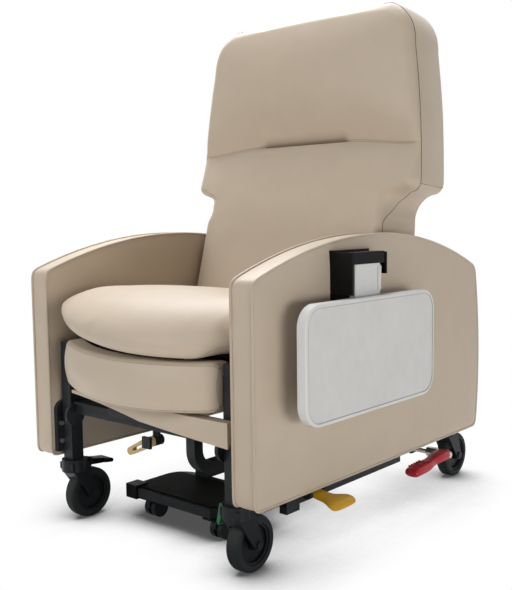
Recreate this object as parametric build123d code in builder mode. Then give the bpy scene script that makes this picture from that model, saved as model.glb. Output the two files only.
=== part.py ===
from build123d import *
import math
import os

os.makedirs("parts", exist_ok=True)

# The chair stands on the floor at z = 0 and faces -Y. Everything is laid out about the
# chair's own middle plane x = 0, and moved to the middle of its outline when it is written.
# Left and right are the sitter's: the left side, at +X, carries the tray.

# Clearances
soft_gap = 0.3
run_gap = 0.05
slide_gap = 0.3
overrun = 5.0

# Arms
arm_inner = 307.0
arm_thick = 59.0
arm_outer = arm_inner + arm_thick
arm_bottom = 168.0
arm_front = -333.0
arm_front_top = 627.0
arm_peak_y = 120.0
arm_peak = 711.0
arm_rear_top = (590.0, 612.0)
arm_rear_bulge = (614.0, 320.0)
arm_rear_foot = 601.0
arm_corner = 13.0
arm_rear_corner = 30.0
arm_edge = 6.0
board_thick = 18.0
board_inset = 10.0
board_foot = 120.0
board_end = 50.0

# Square tube frame
tube = 34.0
tube_wall = 3.0
post_x = 276.0
front_post_y = -291.0
rear_post_y = 592.0
rail_low = 275.0
rail_high = rail_low + tube
mid_cross_y = 230.0
cross_bar = 28.0
cross_bar_low = 278.0
flange_radius = 27.0
flange_thick = 9.0
flange_drop = 18.0
flange_ahead = 12.0
keel_tube = 26.0
keel_x = 140.0
keel_z = 200.0
keel_bend = 45.0
keel_top_y = -276.0

# Casters
wheel_radius = 62.5
tyre_width = 32.0
tyre_depth = 16.0
tyre_round = 7.0
rim_width = 24.0
rim_lip = 6.0
rim_recess = 7.0
wheel_hub = 14.0
axle_radius = 6.0
axle_head = 9.0
axle_head_thick = 4.0
trail = 42.0
fork_gap = 37.0
fork_leg = 7.0
fork_boss = 13.0
fork_shoulder = 24.0
wheel_room = 4.0
head_radius = 30.0
head_low = 127.0
head_high = 157.7
stem_radius = 10.0
stem_length = 40.0
post_foot = head_high + slide_gap

# Caster pedals, measured outwards from the stem
pedal_pin_out = 42.0
pedal_pin_high = 142.0
pedal_pin_radius = 4.0
pedal_boss = 8.0
pedal_cheek = 6.0
pedal_lug_half = 9.0
pedal_lug_low = 129.0
pedal_lug_high = 152.0
pedal_pad_from = 82.0
pedal_tip = 103.0
pedal_tip_high = 134.0
pedal_tip_radius = 5.0
pedal_pad_half = 22.0
steer_tip = 58.0
steer_tip_high = 104.0
steer_tip_radius = 6.0
steer_turn = 70.0

# Seat frame, seat board and seat cushion
seat_rail_inner = 261.0
seat_rail_wide = 30.0
seat_rail_low = 430.0
seat_rail_high = 455.0
seat_rail_rear = 317.5
seat_cross_y = -190.0
seat_cross_deep = 30.0
seat_board_thick = 12.0
seat_board_half = 285.0
seat_board_front = -255.0
seat_board_rear = 180.0
seat_half = 297.0
seat_rear = 130.0
seat_rear_lean = 12.0
seat_nose = -405.0
seat_nose_low = 471.0
seat_nose_high = 72.0
seat_nose_bulge = 14.0
seat_nose_back = 35.0
seat_crest_y = -220.0
seat_crest = 592.0
seat_crest_bow = 10.0
seat_slope_bow = 11.0
seat_back_high = 541.0
seat_bow_share = 0.82
seat_side_back = 113.0
seat_side_rise = 29.0
seat_side_drop = 11.0
seat_side_rear_drop = 6.0

# Back
lean = 4.7
back_foot_y = 255.0
back_foot_z = 480.0
pivot_y = 305.0
pivot_z = 443.0
pivot_radius = 8.0
pivot_pin_end = 240.0
back_low = 0.0
back_low_half = 298.0
wing_inner_v = 262.0
notch_mid = (308.0, 310.0)
notch_end = (342.0, 336.0)
wing_low_mid = (364.0, 345.0)
wing_low = (372.0, 366.0)
wing_side_mid = (361.0, 530.0)
shoulder_low = (338.0, 700.0)
shoulder_mid = (317.0, 771.0)
shoulder_top = (268.0, 811.0)
back_top = 828.0
lumbar_v = 472.0
upper_crown = 32.0
lumbar_wedge = 118.0
lumbar_bow = 7.0
lumbar_dip = 3.0
top_dip = 4.0
cross_crown = 34.0
cross_edge = 8.0
cross_lift = 92.0
back_deep_low = 116.0
back_deep_notch = 118.0
back_deep_wing = 124.0
back_deep_shoulder = 126.0
back_deep_top = 124.0
cover_depth = 92.0
tuft_half = 137.0
tuft_v = 478.0
tuft_deep = 9.0
tuft_high = 8.0
upright_x = 248.0
upright_size = 20.0
upright_foot = -5.0
upright_top = 600.0
back_cross_low = 40.0
pivot_tube_radius = 12.0
pivot_plate_thick = 8.0
pivot_plate_radius = 16.0
back_plate_end = 9.0
plate_proud = 1.0

# Gas spring of the back
lever_pin_back = 37.5
lever_pin_down = 65.0
lever_sag = 5.0
lever_pin_radius = 6.0
lever_pin_half = 14.0
lever_plate_thick = 6.0
lever_end_radius = 11.0
gas_z = pivot_z - lever_pin_down - lever_sag
gas_radius = 12.0
gas_front = -175.0
gas_rear = 60.0
gas_bore_from = -100.0
rod_radius = 5.0
rod_inner = -20.0
rod_eye_half = 14.0
rod_eye_high = 19.0
rod_eye_thick = 10.0
rod_slot_room = 1.0
anchor_half = 8.0
anchor_deep = 30.0

# Leg pad, its backing board, carriage and guides
pad_half = 254.0
pad_cap = 12.0
pad_nose = -395.0
pad_bow = 70.0
pad_thick = 62.0
pad_low = 343.0
pad_low_rise = 12.0
pad_high = 455.0
pad_high_rise = 6.0
pad_round = 20.0
pad_crown = 5.0
pad_cap_inset = 10.0
leg_pivot_z = 448.0
leg_pin_radius = 6.0
leg_board_half = 190.0
leg_board_low = 372.0
leg_board_high = 446.0
leg_board_gap = 1.5
leg_board_edge = 7.3
leg_board_room = 1.0314
leg_rail_x = 150.0
leg_rail_wide = 10.0
leg_rail_high = 25.0
leg_rail_long = 300.0
leg_rail_z = 376.0
leg_slope = 0.2
leg_ear_radius = 12.0
leg_ear_thick = 10.0
leg_ear_inset = 4.0
leg_sleeve_wall = 4.0
leg_sleeve_from = 14.0
leg_sleeve_long = 140.0
leg_hanger_deep = 15.0
leg_cross_inset = 3.0
leg_cross_deep = 18.0
leg_cross_high = 20.0

# Skirt panel under the leg pad
skirt_right_end = 249.0
skirt_left_end = 290.0
skirt_rear = -304.0
skirt_end_thick = 7.0
skirt_mid_thick = 26.0
skirt_top = 338.0
skirt_low = 284.0
skirt_bend = (20.0, 303.0)
skirt_rise_mid = (-110.0, 321.0)
skirt_right_low = 331.0
skirt_plate_half = 120.0
skirt_plate_low = 290.0
skirt_plate_high = 330.0

# Arm brackets and their bolts
bracket_low = 178.0
bracket_high = 306.0
front_bracket = (-325.0, -257.0)
rear_bracket = (548.0, 600.0)
bracket_top_round = 24.0
bolt_radius = 4.0
bolt_head = 6.0
bolt_head_thick = 5.0
bolt_out = 23.0
bolt_heights = (205.0, 250.0)

# Tray on the left arm
tray_rear_x = 416.0
tray_thick = 25.0
tray_front_y = -262.0
tray_long = 500.0
tray_low = 330.0
tray_high = 250.0
tray_corner = 47.0
tray_rim = 8.0
tray_recess = 4.0
tray_panel_thick = 3.0
tray_edge = 4.0
neck_thick = 14.0
neck_front = -57.0
neck_wide = 97.0
neck_low = 380.0
neck_high = 650.0
neck_frame = 8.0
neck_recess = 2.0
neck_panel_low = 588.0
hinge_x = 408.0
hinge_z = 664.0
hinge_pin_radius = 5.0
hinge_block_half = 12.0
hinge_block_low = 650.0
hinge_block_high = 676.0
hinge_block_front = -72.0
hinge_block_rear = 52.0
bracket_plate = 6.0
tray_bracket_front = -85.0
tray_bracket_rear = 63.0
tray_bracket_low = 573.0
tray_bracket_high = 680.0
front_cheek_x = 428.0
front_cheek_low = 586.0
front_cheek_high = 677.0
rear_cheek_x = 420.0
rear_cheek_low = 625.0
rear_cheek_high = 674.0
latch_y = 44.0
latch_thick = 6.0
latch_wide = 8.0
latch_pin_z = 640.0
latch_pin_radius = 3.0
latch_low = 594.0
latch_knob = 6.0

# Channel and yellow pedal under the left arm
channel_inner = 325.0
channel_outer = 345.0
channel_front = -209.0
channel_rear = 242.0
channel_low = 140.0
channel_wall = 3.0
clamp_low = 126.0
clamp_long = 44.0
yellow_pin_x = 354.0
yellow_pin_z = 155.0
yellow_pin_radius = 5.0
yellow_lug_thick = 8.0
yellow_front = -148.0
yellow_rear = -92.0
yellow_boss = 9.0
yellow_neck_x = 404.0
yellow_neck_z = 147.0
yellow_neck_radius = 7.0
yellow_pad_x = 420.0
yellow_pad_z = 143.0
yellow_pad_radius = 9.0
yellow_pad_front = -155.0
yellow_pad_rear = -70.0

# Brake shaft and red rocker pedal
shaft_radius = 8.0
shaft_y = 452.0
shaft_z = 114.0
shaft_hanger_thick = 8.0
shaft_hanger_half = 11.0
shaft_hanger_low = 101.0
red_x = 351.0
red_half = 21.0
red_waist_half = 16.0
red_heel = (436.0, 113.0)
red_heel_radius = 13.0
red_mid = (397.0, 112.0)
red_mid_radius = 12.0
red_ball = (368.0, 104.0)
red_toe = (296.0, 101.0)
red_toe_radius = 13.0
hex_half = 13.0
hex_long = 28.0
shaft_end = 262.0

# Tan release lever under the cross bar
lever_x = 30.0
lever_z = 253.0
lever_stub_radius = 9.0
lever_hub_radius = 12.0
lever_hub_rear = -274.0
lever_hub_front = -300.0
lever_spindle = 6.0
lever_boss = 12.0
lever_thick = 13.0
lever_cap_half = 13.0
lever_cap_thick = 7.0
lever_tip = (-34.0, 222.0)
lever_tip_radius = 9.0
lever_slot_radius = 3.5

# Foot platform
plate_low = 55.0
plate_high = 78.0
plate_left = -191.0
plate_right = 165.0
plate_front = -187.0
plate_nick = 12.0
plate_chamfer_x = 96.0
plate_chamfer_y = -70.0
plate_rear_round = 60.0
mat_thick = 3.0
mat_inset = 9.0
mat_rear = -26.0
foot_rail_xs = (-97.0, 57.0)
foot_rail_wide = 40.0
foot_rail_high = 20.0
foot_rail_front = -22.0
foot_rail_rear = 300.0
foot_guide_wall = 4.0
foot_guide_front = 130.0
foot_guide_long = 60.0
foot_guide_bar = 8.0
clip_reach = 5.0
clip_long = 34.0
clip_low = 50.0
clip_high = 85.0
twin_places = ((-138.0, -156.0), (98.0, -162.0))
twin_radius = 24.0
twin_width = 13.0
twin_web_half = 4.5
twin_gap = 0.8
twin_trail = 14.0
twin_axle = 4.0
twin_stem = 5.0
twin_stem_long = 20.0
twin_mount_half = 26.0
twin_mount_thick = 5.0
twin_hood_radius = 14.0

# The origin is on the floor, in the middle of the whole outline
origin_x = (tray_rear_x + tray_thick - arm_outer) / 2
origin_y = (seat_nose + rear_post_y + trail + wheel_radius) / 2
to_origin = Location((-origin_x, -origin_y, 0))


def finish(piece, name):
    """Move a piece from the chair's middle to the origin, label it and write it."""
    piece.part = piece.part.moved(to_origin)
    piece.part.label = name
    export_step(piece.part, f"parts/{name}.step")


def block(x, y, z, mode=Mode.ADD):
    """A box between two x, two y and two z values."""
    with Locations(((x[0] + x[1]) / 2, (y[0] + y[1]) / 2, (z[0] + z[1]) / 2)):
        Box(x[1] - x[0], y[1] - y[0], z[1] - z[0], mode=mode)


def rod_x(x, y, z, radius, mode=Mode.ADD):
    """A round bar along X, between two x values."""
    with Locations(Location(((x[0] + x[1]) / 2, y, z), (0, 90, 0))):
        Cylinder(radius, x[1] - x[0], mode=mode)


def rod_y(x, y, z, radius, mode=Mode.ADD):
    """A round bar along Y, between two y values."""
    with Locations(Location((x, (y[0] + y[1]) / 2, z), (90, 0, 0))):
        Cylinder(radius, y[1] - y[0], mode=mode)


def rod_z(x, y, z, radius, mode=Mode.ADD):
    """A round bar along Z, between two z values."""
    with Locations((x, y, (z[0] + z[1]) / 2)):
        Cylinder(radius, z[1] - z[0], mode=mode)


def side_hull(x, rounds, mode=Mode.ADD):
    """A plate between two x values, whose side view is the hull of circles (y, z, radius)."""
    with BuildSketch(Plane.YZ.offset(x[0])) as view:
        for y, z, radius in rounds:
            with Locations((y, z)):
                Circle(radius)
        make_hull()
    extrude(view.sketch, amount=x[1] - x[0], mode=mode)


def front_hull(y, rounds, mode=Mode.ADD):
    """A plate between two y values, whose front view is the hull of circles (x, z, radius)."""
    with BuildSketch(Plane.XZ.offset(-y[1])) as view:
        for x, z, radius in rounds:
            with Locations((x, z)):
                Circle(radius)
        make_hull()
    extrude(view.sketch, amount=y[1] - y[0], mode=mode)


# Front frame: two posts, the cross bar between them and its round flanges
post_out = post_x + tube / 2
post_in = post_x - tube / 2
cross_bar_high = cross_bar_low + cross_bar
cross_bar_y = (front_post_y - tube / 2 + tube - cross_bar, front_post_y + tube / 2)
with BuildPart() as front_frame:
    post_y = (front_post_y - tube / 2, front_post_y + tube / 2)
    block((post_in, post_out), post_y, (post_foot, seat_rail_low))
    inner_y = (post_y[0] + tube_wall, post_y[1] - tube_wall)
    inner_x = (post_in + tube_wall, post_out - tube_wall)
    hollow_z = (post_foot + stem_length + tube, seat_rail_low + overrun)
    block(inner_x, inner_y, hollow_z, mode=Mode.SUBTRACT)
    stem_hole = (post_foot - overrun, post_foot + stem_length)
    rod_z(post_x, front_post_y, stem_hole, stem_radius + run_gap, mode=Mode.SUBTRACT)
    flange_y = cross_bar_y[0] + cross_bar / 2 - flange_ahead
    flange_z = cross_bar_low + cross_bar / 2 - flange_drop
    rod_x((post_in - flange_thick, post_in), flange_y, flange_z, flange_radius)
    mirror(about=Plane.YZ)
    block((-post_in, post_in), cross_bar_y, (cross_bar_low, cross_bar_high))
    plate_y = (skirt_rear, cross_bar_y[0])
    block((-skirt_plate_half, skirt_plate_half), plate_y, (skirt_plate_low, skirt_plate_high))
finish(front_frame, "front_frame")

# Rear frame: two posts with an upper and a lower cross tube
keel_half = keel_tube / 2
with BuildPart() as rear_frame:
    rear_y = (rear_post_y - tube / 2, rear_post_y + tube / 2)
    block((post_in, post_out), rear_y, (post_foot, rail_high))
    rear_stem_hole = (post_foot - overrun, post_foot + stem_length)
    rod_z(post_x, rear_post_y, rear_stem_hole, stem_radius + run_gap, mode=Mode.SUBTRACT)
    mirror(about=Plane.YZ)
    block((-post_in, post_in), rear_y, (rail_low, rail_high))
    block((-post_in, post_in), rear_y, (keel_z - keel_half, keel_z + keel_half))
finish(rear_frame, "rear_frame")

# Side rails, the cross tube between them and the hangers of the brake shaft
with BuildPart() as side_rails:
    rail_y = (front_post_y + tube / 2, rear_post_y - tube / 2)
    block((post_in, post_out), rail_y, (rail_low, rail_high))
    hanger_y = (shaft_y - shaft_hanger_half, shaft_y + shaft_hanger_half)
    hanger_x = (post_in - shaft_hanger_thick, post_in)
    block(hanger_x, hanger_y, (shaft_hanger_low, rail_high))
    hanger_bore_x = (hanger_x[0] - overrun, hanger_x[1] + overrun)
    rod_x(hanger_bore_x, shaft_y, shaft_z, shaft_radius + run_gap, mode=Mode.SUBTRACT)
    rail_hollow_y = (rail_y[0] - overrun, rail_y[1] + overrun)
    rail_hollow_z = (rail_low + tube_wall, rail_high - tube_wall)
    block(inner_x, rail_hollow_y, rail_hollow_z, mode=Mode.SUBTRACT)
    mirror(about=Plane.YZ)
    mid_y = (mid_cross_y - tube / 2, mid_cross_y + tube / 2)
    block((-post_in, post_in), mid_y, (rail_low, rail_high))
finish(side_rails, "side_rails")

# Keel tube: down from the cross bar, round a bend and back to the rear frame
with BuildPart() as keel:
    with BuildLine(Plane.YZ.offset(keel_x)):
        keel_points = (
            (keel_top_y, cross_bar_low),
            (keel_top_y, keel_z),
            (rear_post_y - tube / 2, keel_z),
        )
        FilletPolyline(*keel_points, radius=keel_bend)
    with BuildSketch(Plane((keel_x, keel_top_y, cross_bar_low), z_dir=(0, 0, -1))):
        Rectangle(keel_tube, keel_tube)
    sweep()
finish(keel, "keel_tube")

# Seat frame: rails, cross tubes, rear uprights, pins of the back pivot, gas spring anchor
seat_rail_outer = seat_rail_inner + seat_rail_wide
with BuildPart() as seat_frame:
    frame_y = (front_post_y - tube / 2, seat_rail_rear)
    seat_rail_z = (seat_rail_low, seat_rail_high)
    block((seat_rail_inner, seat_rail_outer), frame_y, seat_rail_z)
    upright_y = (mid_cross_y - tube / 2, mid_cross_y + tube / 2)
    block((seat_rail_inner, seat_rail_outer), upright_y, (rail_high, seat_rail_low))
    rod_x((pivot_pin_end, seat_rail_inner), pivot_y, pivot_z, pivot_radius)
    mirror(about=Plane.YZ)
    seat_cross = (seat_cross_y - seat_cross_deep / 2, seat_cross_y + seat_cross_deep / 2)
    block((-seat_rail_inner, seat_rail_inner), seat_cross, seat_rail_z)
    block((-seat_rail_inner, seat_rail_inner), upright_y, seat_rail_z)
    anchor_y = (gas_front - anchor_deep, gas_front)
    anchor_low = gas_z - gas_radius
    block((-anchor_half, anchor_half), anchor_y, (anchor_low, seat_rail_low))
finish(seat_frame, "seat_frame")

with BuildPart() as seat_board:
    board_z = (seat_rail_high, seat_rail_high + seat_board_thick)
    block((-seat_board_half, seat_board_half), (seat_board_front, seat_board_rear), board_z)
finish(seat_board, "seat_board")


def seat_side(share):
    """How much of the seat's end form a place across it has."""
    return seat_bow_share * share**2 + (1 - seat_bow_share) * share**8


def seat_section(share, side_share):
    """One side view of the seat cushion, share of the half width away from the middle."""
    nose = seat_nose + seat_side_back * side_share
    low = seat_nose_low + seat_side_rise * side_share
    crest = seat_crest - seat_side_drop * side_share
    rear = seat_back_high - seat_side_rear_drop * side_share
    base = board_z[1] + soft_gap
    foot = (nose + seat_nose_bulge, low)
    brow = (nose + seat_nose_back, low + seat_nose_high * (crest - low) / (seat_crest - seat_nose_low))
    top = (seat_crest_y, crest)
    back = (seat_rear + seat_rear_lean, rear)
    cheek = (nose, (foot[1] + brow[1]) / 2)
    slope = ((brow[0] + top[0]) / 2, (brow[1] + top[1]) / 2 + seat_crest_bow)
    saddle = ((top[0] + back[0]) / 2, (top[1] + back[1]) / 2 + seat_slope_bow)
    with BuildSketch(Plane.YZ.offset(seat_half * share)) as section:
        with BuildLine():
            ThreePointArc(foot, cheek, brow)
            ThreePointArc(brow, slope, top)
            ThreePointArc(top, saddle, back)
            Line(back, (seat_rear, base))
            Line((seat_rear, base), (seat_board_front, base))
            Line((seat_board_front, base), foot)
        make_face()
    return section.sketch


# Seat cushion: crowned, with a bowed waterfall front that rises at both ends
seat_shares = (-1, -0.91, -0.47, 0, 0.47, 0.91, 1)
with BuildPart() as seat_cushion:
    loft([seat_section(share, seat_side(share)) for share in seat_shares])
finish(seat_cushion, "seat_cushion")


def arm_outline():
    """Side view of an arm, as a face in the current sketch."""
    front_foot = (arm_front, arm_bottom)
    front_top = (arm_front, arm_front_top)
    rear_foot = (arm_rear_foot, arm_bottom)
    with BuildLine() as outline:
        Line(front_foot, front_top)
        ThreePointArc(front_top, (arm_peak_y, arm_peak), arm_rear_top)
        ThreePointArc(arm_rear_top, arm_rear_bulge, rear_foot)
        Line(rear_foot, front_foot)
    make_face(outline.edges())


board_inner = arm_inner + (arm_thick - board_thick) / 2


def arm_board(mode=Mode.ADD):
    """The board inside an arm, open to the arm's underside."""
    with BuildSketch(Plane.YZ.offset(board_inner)) as view:
        arm_outline()
        offset(amount=-board_inset, kind=Kind.INTERSECTION, mode=Mode.REPLACE)
    extrude(view.sketch, amount=board_thick, mode=mode)
    foot_y = (arm_front + board_end, arm_rear_foot - board_end)
    foot_z = (arm_bottom, arm_bottom + board_foot)
    block((board_inner, board_inner + board_thick), foot_y, foot_z, mode=mode)


def arm_bolts(radius, x, mode=Mode.ADD):
    """The four bolts that hold one arm, as bars of a radius between two x values."""
    for post_middle in (front_post_y, rear_post_y):
        for height in bolt_heights:
            rod_x(x, post_middle - bolt_out, height, radius, mode=mode)


bolt_end = board_inner + board_thick
for side, name in ((1, "left_arm"), (-1, "right_arm")):
    with BuildPart() as arm:
        with BuildSketch(Plane.YZ.offset(arm_inner)):
            arm_outline()
            fillet(vertices().sort_by_distance(arm_rear_top)[0], radius=arm_rear_corner)
            corners = [v for v in vertices() if v.X < 0 or v.Y < arm_rear_bulge[1]]
            fillet(corners, radius=arm_corner)
        extrude(amount=arm_thick)
        rims = edges().filter_by(Plane.YZ)
        fillet(rims, radius=arm_edge)
        arm_board(mode=Mode.SUBTRACT)
        arm_bolts(bolt_radius, (arm_inner - overrun, board_inner), mode=Mode.SUBTRACT)
        if side < 0:
            mirror(about=Plane.YZ, mode=Mode.REPLACE)
    finish(arm, name)

with BuildPart() as arm_boards:
    arm_board()
    arm_bolts(bolt_radius, (board_inner - overrun, bolt_end), mode=Mode.SUBTRACT)
    mirror(about=Plane.YZ)
finish(arm_boards, "arm_boards")

# Brackets between the posts and the arms, rounded at the top, and their bolts
with BuildPart() as arm_brackets:
    for low_y, high_y in (front_bracket, rear_bracket):
        rounds = (
            (low_y + bracket_top_round, bracket_high - bracket_top_round, bracket_top_round),
            (high_y - bracket_top_round, bracket_high - bracket_top_round, bracket_top_round),
        )
        side_hull((post_out, arm_inner), rounds)
        bracket_top = bracket_high - bracket_top_round
        block((post_out, arm_inner), (low_y, high_y), (bracket_low, bracket_top))
    arm_bolts(bolt_radius, (post_out - overrun, arm_inner + overrun), mode=Mode.SUBTRACT)
    mirror(about=Plane.YZ)
finish(arm_brackets, "arm_brackets")

with BuildPart() as frame_bolts:
    arm_bolts(bolt_radius, (post_out, bolt_end))
    arm_bolts(bolt_head, (post_out - bolt_head_thick, post_out))
    mirror(about=Plane.YZ)
finish(frame_bolts, "frame_bolts")

# Skirt panel under the leg pad, flat behind and bowed in front, clear of the posts beside it
with BuildPart() as skirt:
    with BuildSketch(Plane.XY.offset(skirt_low)):
        with BuildLine():
            right_front = (-skirt_right_end, skirt_rear - skirt_end_thick)
            left_front = (skirt_left_end, skirt_rear - skirt_mid_thick)
            Line((-skirt_right_end, skirt_rear), right_front)
            ThreePointArc(right_front, (0, skirt_rear - skirt_mid_thick), left_front)
            Line(left_front, (skirt_left_end, skirt_rear))
            Line((skirt_left_end, skirt_rear), (-skirt_right_end, skirt_rear))
        make_face()
    extrude(amount=skirt_top - skirt_low)
    with BuildSketch(Plane.XZ.offset(-skirt_rear)):
        with BuildLine():
            right_low = (-skirt_right_end, skirt_right_low)
            Line((skirt_left_end, skirt_low), skirt_bend)
            ThreePointArc(skirt_bend, skirt_rise_mid, right_low)
            Line(right_low, (-skirt_right_end, skirt_top))
            Line((-skirt_right_end, skirt_top), (skirt_left_end, skirt_top))
            Line((skirt_left_end, skirt_top), (skirt_left_end, skirt_low))
        make_face()
    extrude(amount=skirt_mid_thick + overrun, mode=Mode.INTERSECT)
    for sign in (-1, 1):
        beside = sign * (arm_inner + overrun)
        flange_room = sorted((sign * (post_in - flange_thick - soft_gap), beside))
        rod_x(flange_room, flange_y, flange_z, flange_radius + soft_gap, mode=Mode.SUBTRACT)
        post_room = sorted((sign * (post_in - soft_gap), beside))
        post_room_y = (post_y[0] - soft_gap, post_y[1])
        block(post_room, post_room_y, (skirt_low - overrun, skirt_top + overrun), mode=Mode.SUBTRACT)
        bracket_room = sorted((sign * (post_out - soft_gap), beside))
        bracket_room_z = (bracket_low, bracket_high + soft_gap)
        block(bracket_room, front_bracket, bracket_room_z, mode=Mode.SUBTRACT)
finish(skirt, "front_skirt")


def pad_front(x):
    """Front of the leg pad in plan, a shallow bow."""
    return pad_nose + pad_bow * (x / pad_half) ** 2


def pad_section(x, inset):
    """One side view of the leg pad at x, drawn in all round by inset."""
    side_share = (x / pad_half) ** 2
    front = pad_front(x) + inset
    rear = pad_front(x) + pad_thick - inset
    low = pad_low + pad_low_rise * side_share + inset
    high = pad_high + pad_high_rise * side_share - inset
    middle = (low + high) / 2
    round_off = pad_round * (1 - 1 / math.sqrt(2))
    with BuildSketch(Plane.YZ.offset(x)) as section:
        with BuildLine():
            front_low = (front, low + pad_round)
            front_high = (front, high - pad_round)
            ThreePointArc(front_low, (front - pad_crown, middle), front_high)
            top_front = (front + pad_round, high)
            ThreePointArc(front_high, (front + round_off, high - round_off), top_front)
            top_rear = (rear - pad_round, high)
            Line(top_front, top_rear)
            rear_high = (rear, high - pad_round)
            ThreePointArc(top_rear, (rear - round_off, high - round_off), rear_high)
            rear_low = (rear, low + pad_round)
            Line(rear_high, rear_low)
            foot_rear = (rear - pad_round, low)
            ThreePointArc(rear_low, (rear - round_off, low + round_off), foot_rear)
            foot_front = (front + pad_round, low)
            Line(foot_rear, foot_front)
            ThreePointArc(foot_front, (front + round_off, low + round_off), front_low)
        make_face()
    return section.sketch


# Leg pad: bowed and crowned, drawn in at both ends
pad_inner = pad_half - pad_cap
with BuildPart() as leg_pad:
    pad_shares = (-1, -0.5, 0, 0.5, 1)
    loft([pad_section(pad_inner * share, 0) for share in pad_shares])
    for end in (-1, 1):
        cap = (pad_section(pad_inner * end, 0), pad_section(pad_half * end, pad_cap_inset))
        loft(cap, ruled=True)
finish(leg_pad, "leg_pad")

# Backing board of the leg pad, with its two hinge ears
ear_inner = leg_rail_x + leg_rail_wide / 2 + slide_gap
board_end_y = pad_front(leg_board_half) + pad_thick + leg_board_gap
leg_board_rear = board_end_y + leg_board_edge
leg_pivot_y = leg_board_rear + leg_board_room + leg_ear_radius
with BuildPart() as leg_board:
    board_mid_y = pad_nose + pad_thick + leg_board_gap
    with BuildSketch(Plane.XY.offset(leg_board_low)):
        with BuildLine():
            Line((-leg_board_half, leg_board_rear), (-leg_board_half, board_end_y))
            ends = ((-leg_board_half, board_end_y), (leg_board_half, board_end_y))
            ThreePointArc(ends[0], (0, board_mid_y), ends[1])
            Line((leg_board_half, board_end_y), (leg_board_half, leg_board_rear))
            Line((leg_board_half, leg_board_rear), (-leg_board_half, leg_board_rear))
        make_face()
    extrude(amount=leg_board_high - leg_board_low)
    for sign in (-1, 1):
        ear_x = sorted((sign * ear_inner, sign * (ear_inner + leg_ear_thick)))
        ear_root = leg_board_rear - leg_ear_inset
        ear_rounds = (
            (leg_pivot_y, leg_pivot_z, leg_ear_radius),
            (ear_root, leg_board_high - leg_ear_radius, leg_ear_radius),
            (ear_root, leg_board_low + leg_ear_radius, leg_ear_radius),
        )
        side_hull(ear_x, ear_rounds)
        bore_x = (ear_x[0] - overrun, ear_x[1] + overrun)
        rod_x(bore_x, leg_pivot_y, leg_pivot_z, leg_pin_radius + run_gap, mode=Mode.SUBTRACT)
finish(leg_board, "leg_board")

# Carriage of the leg pad: sloped rails, a cross tube, hinge plates and pins
slope_angle = math.degrees(math.atan(leg_slope))
slope_cos = math.cos(math.radians(slope_angle))
slope_sin = math.sin(math.radians(slope_angle))
carriage_front = leg_pivot_y - leg_ear_radius


def on_rail(distance):
    """Depth and height of a point on the rail's middle line, distance behind its front end."""
    return leg_pivot_y + distance * slope_cos, leg_rail_z + distance * slope_sin


with BuildPart() as carriage:
    for sign in (-1, 1):
        rail_mid = on_rail(leg_rail_long / 2)
        with Locations(Location((sign * leg_rail_x, *rail_mid), (slope_angle, 0, 0))):
            Box(leg_rail_wide, leg_rail_long, leg_rail_high)
        plate_x = (
            sign * leg_rail_x - leg_rail_wide / 2,
            sign * leg_rail_x + leg_rail_wide / 2,
        )
        plate_low_z = leg_rail_z - leg_rail_high / 2 + leg_ear_radius
        plate_rounds = (
            (leg_pivot_y, leg_pivot_z, leg_ear_radius),
            (leg_pivot_y, plate_low_z, leg_ear_radius),
        )
        side_hull(plate_x, plate_rounds)
        pin_x = sorted((sign * leg_rail_x, sign * (ear_inner + leg_ear_thick)))
        rod_x(pin_x, leg_pivot_y, leg_pivot_z, leg_pin_radius)
    cross_front = carriage_front + leg_cross_inset
    cross_low = plate_low_z - leg_ear_radius + leg_cross_inset
    cross_z = (cross_low, cross_low + leg_cross_high)
    block((-leg_rail_x, leg_rail_x), (cross_front, cross_front + leg_cross_deep), cross_z)
finish(carriage, "leg_carriage")

# Guides of the carriage, hung from the front cross tube of the seat frame
with BuildPart() as leg_guides:
    for sign in (-1, 1):
        sleeve_mid = on_rail(leg_ear_radius * 2 + leg_sleeve_from + leg_sleeve_long / 2)
        sleeve_place = Location((sign * leg_rail_x, *sleeve_mid), (slope_angle, 0, 0))
        sleeve_wide = leg_rail_wide + 2 * (slide_gap + leg_sleeve_wall)
        sleeve_high = leg_rail_high + 2 * (slide_gap + leg_sleeve_wall)
        hanger_x = (sign * leg_rail_x - sleeve_wide / 2, sign * leg_rail_x + sleeve_wide / 2)
        hanger_foot = on_rail(leg_ear_radius * 2 + leg_sleeve_from)[1]
        hanger_y = (seat_cross[1] - leg_hanger_deep, seat_cross[1])
        block(hanger_x, hanger_y, (hanger_foot, seat_rail_low))
        with Locations(sleeve_place):
            Box(sleeve_wide, leg_sleeve_long, sleeve_high)
            room = (leg_rail_wide + 2 * slide_gap, leg_rail_high + 2 * slide_gap)
            Box(room[0], leg_rail_long * 2, room[1], mode=Mode.SUBTRACT)
finish(leg_guides, "leg_guides")

# Gas spring: cylinder held by its anchor, rod with a slotted eye round the lever pin
with BuildPart() as gas_cylinder:
    rod_y(0, (gas_front, gas_rear), gas_z, gas_radius)
    bore_y = (gas_bore_from, gas_rear + overrun)
    rod_y(0, bore_y, gas_z, rod_radius + run_gap, mode=Mode.SUBTRACT)
finish(gas_cylinder, "gas_cylinder")

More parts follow.
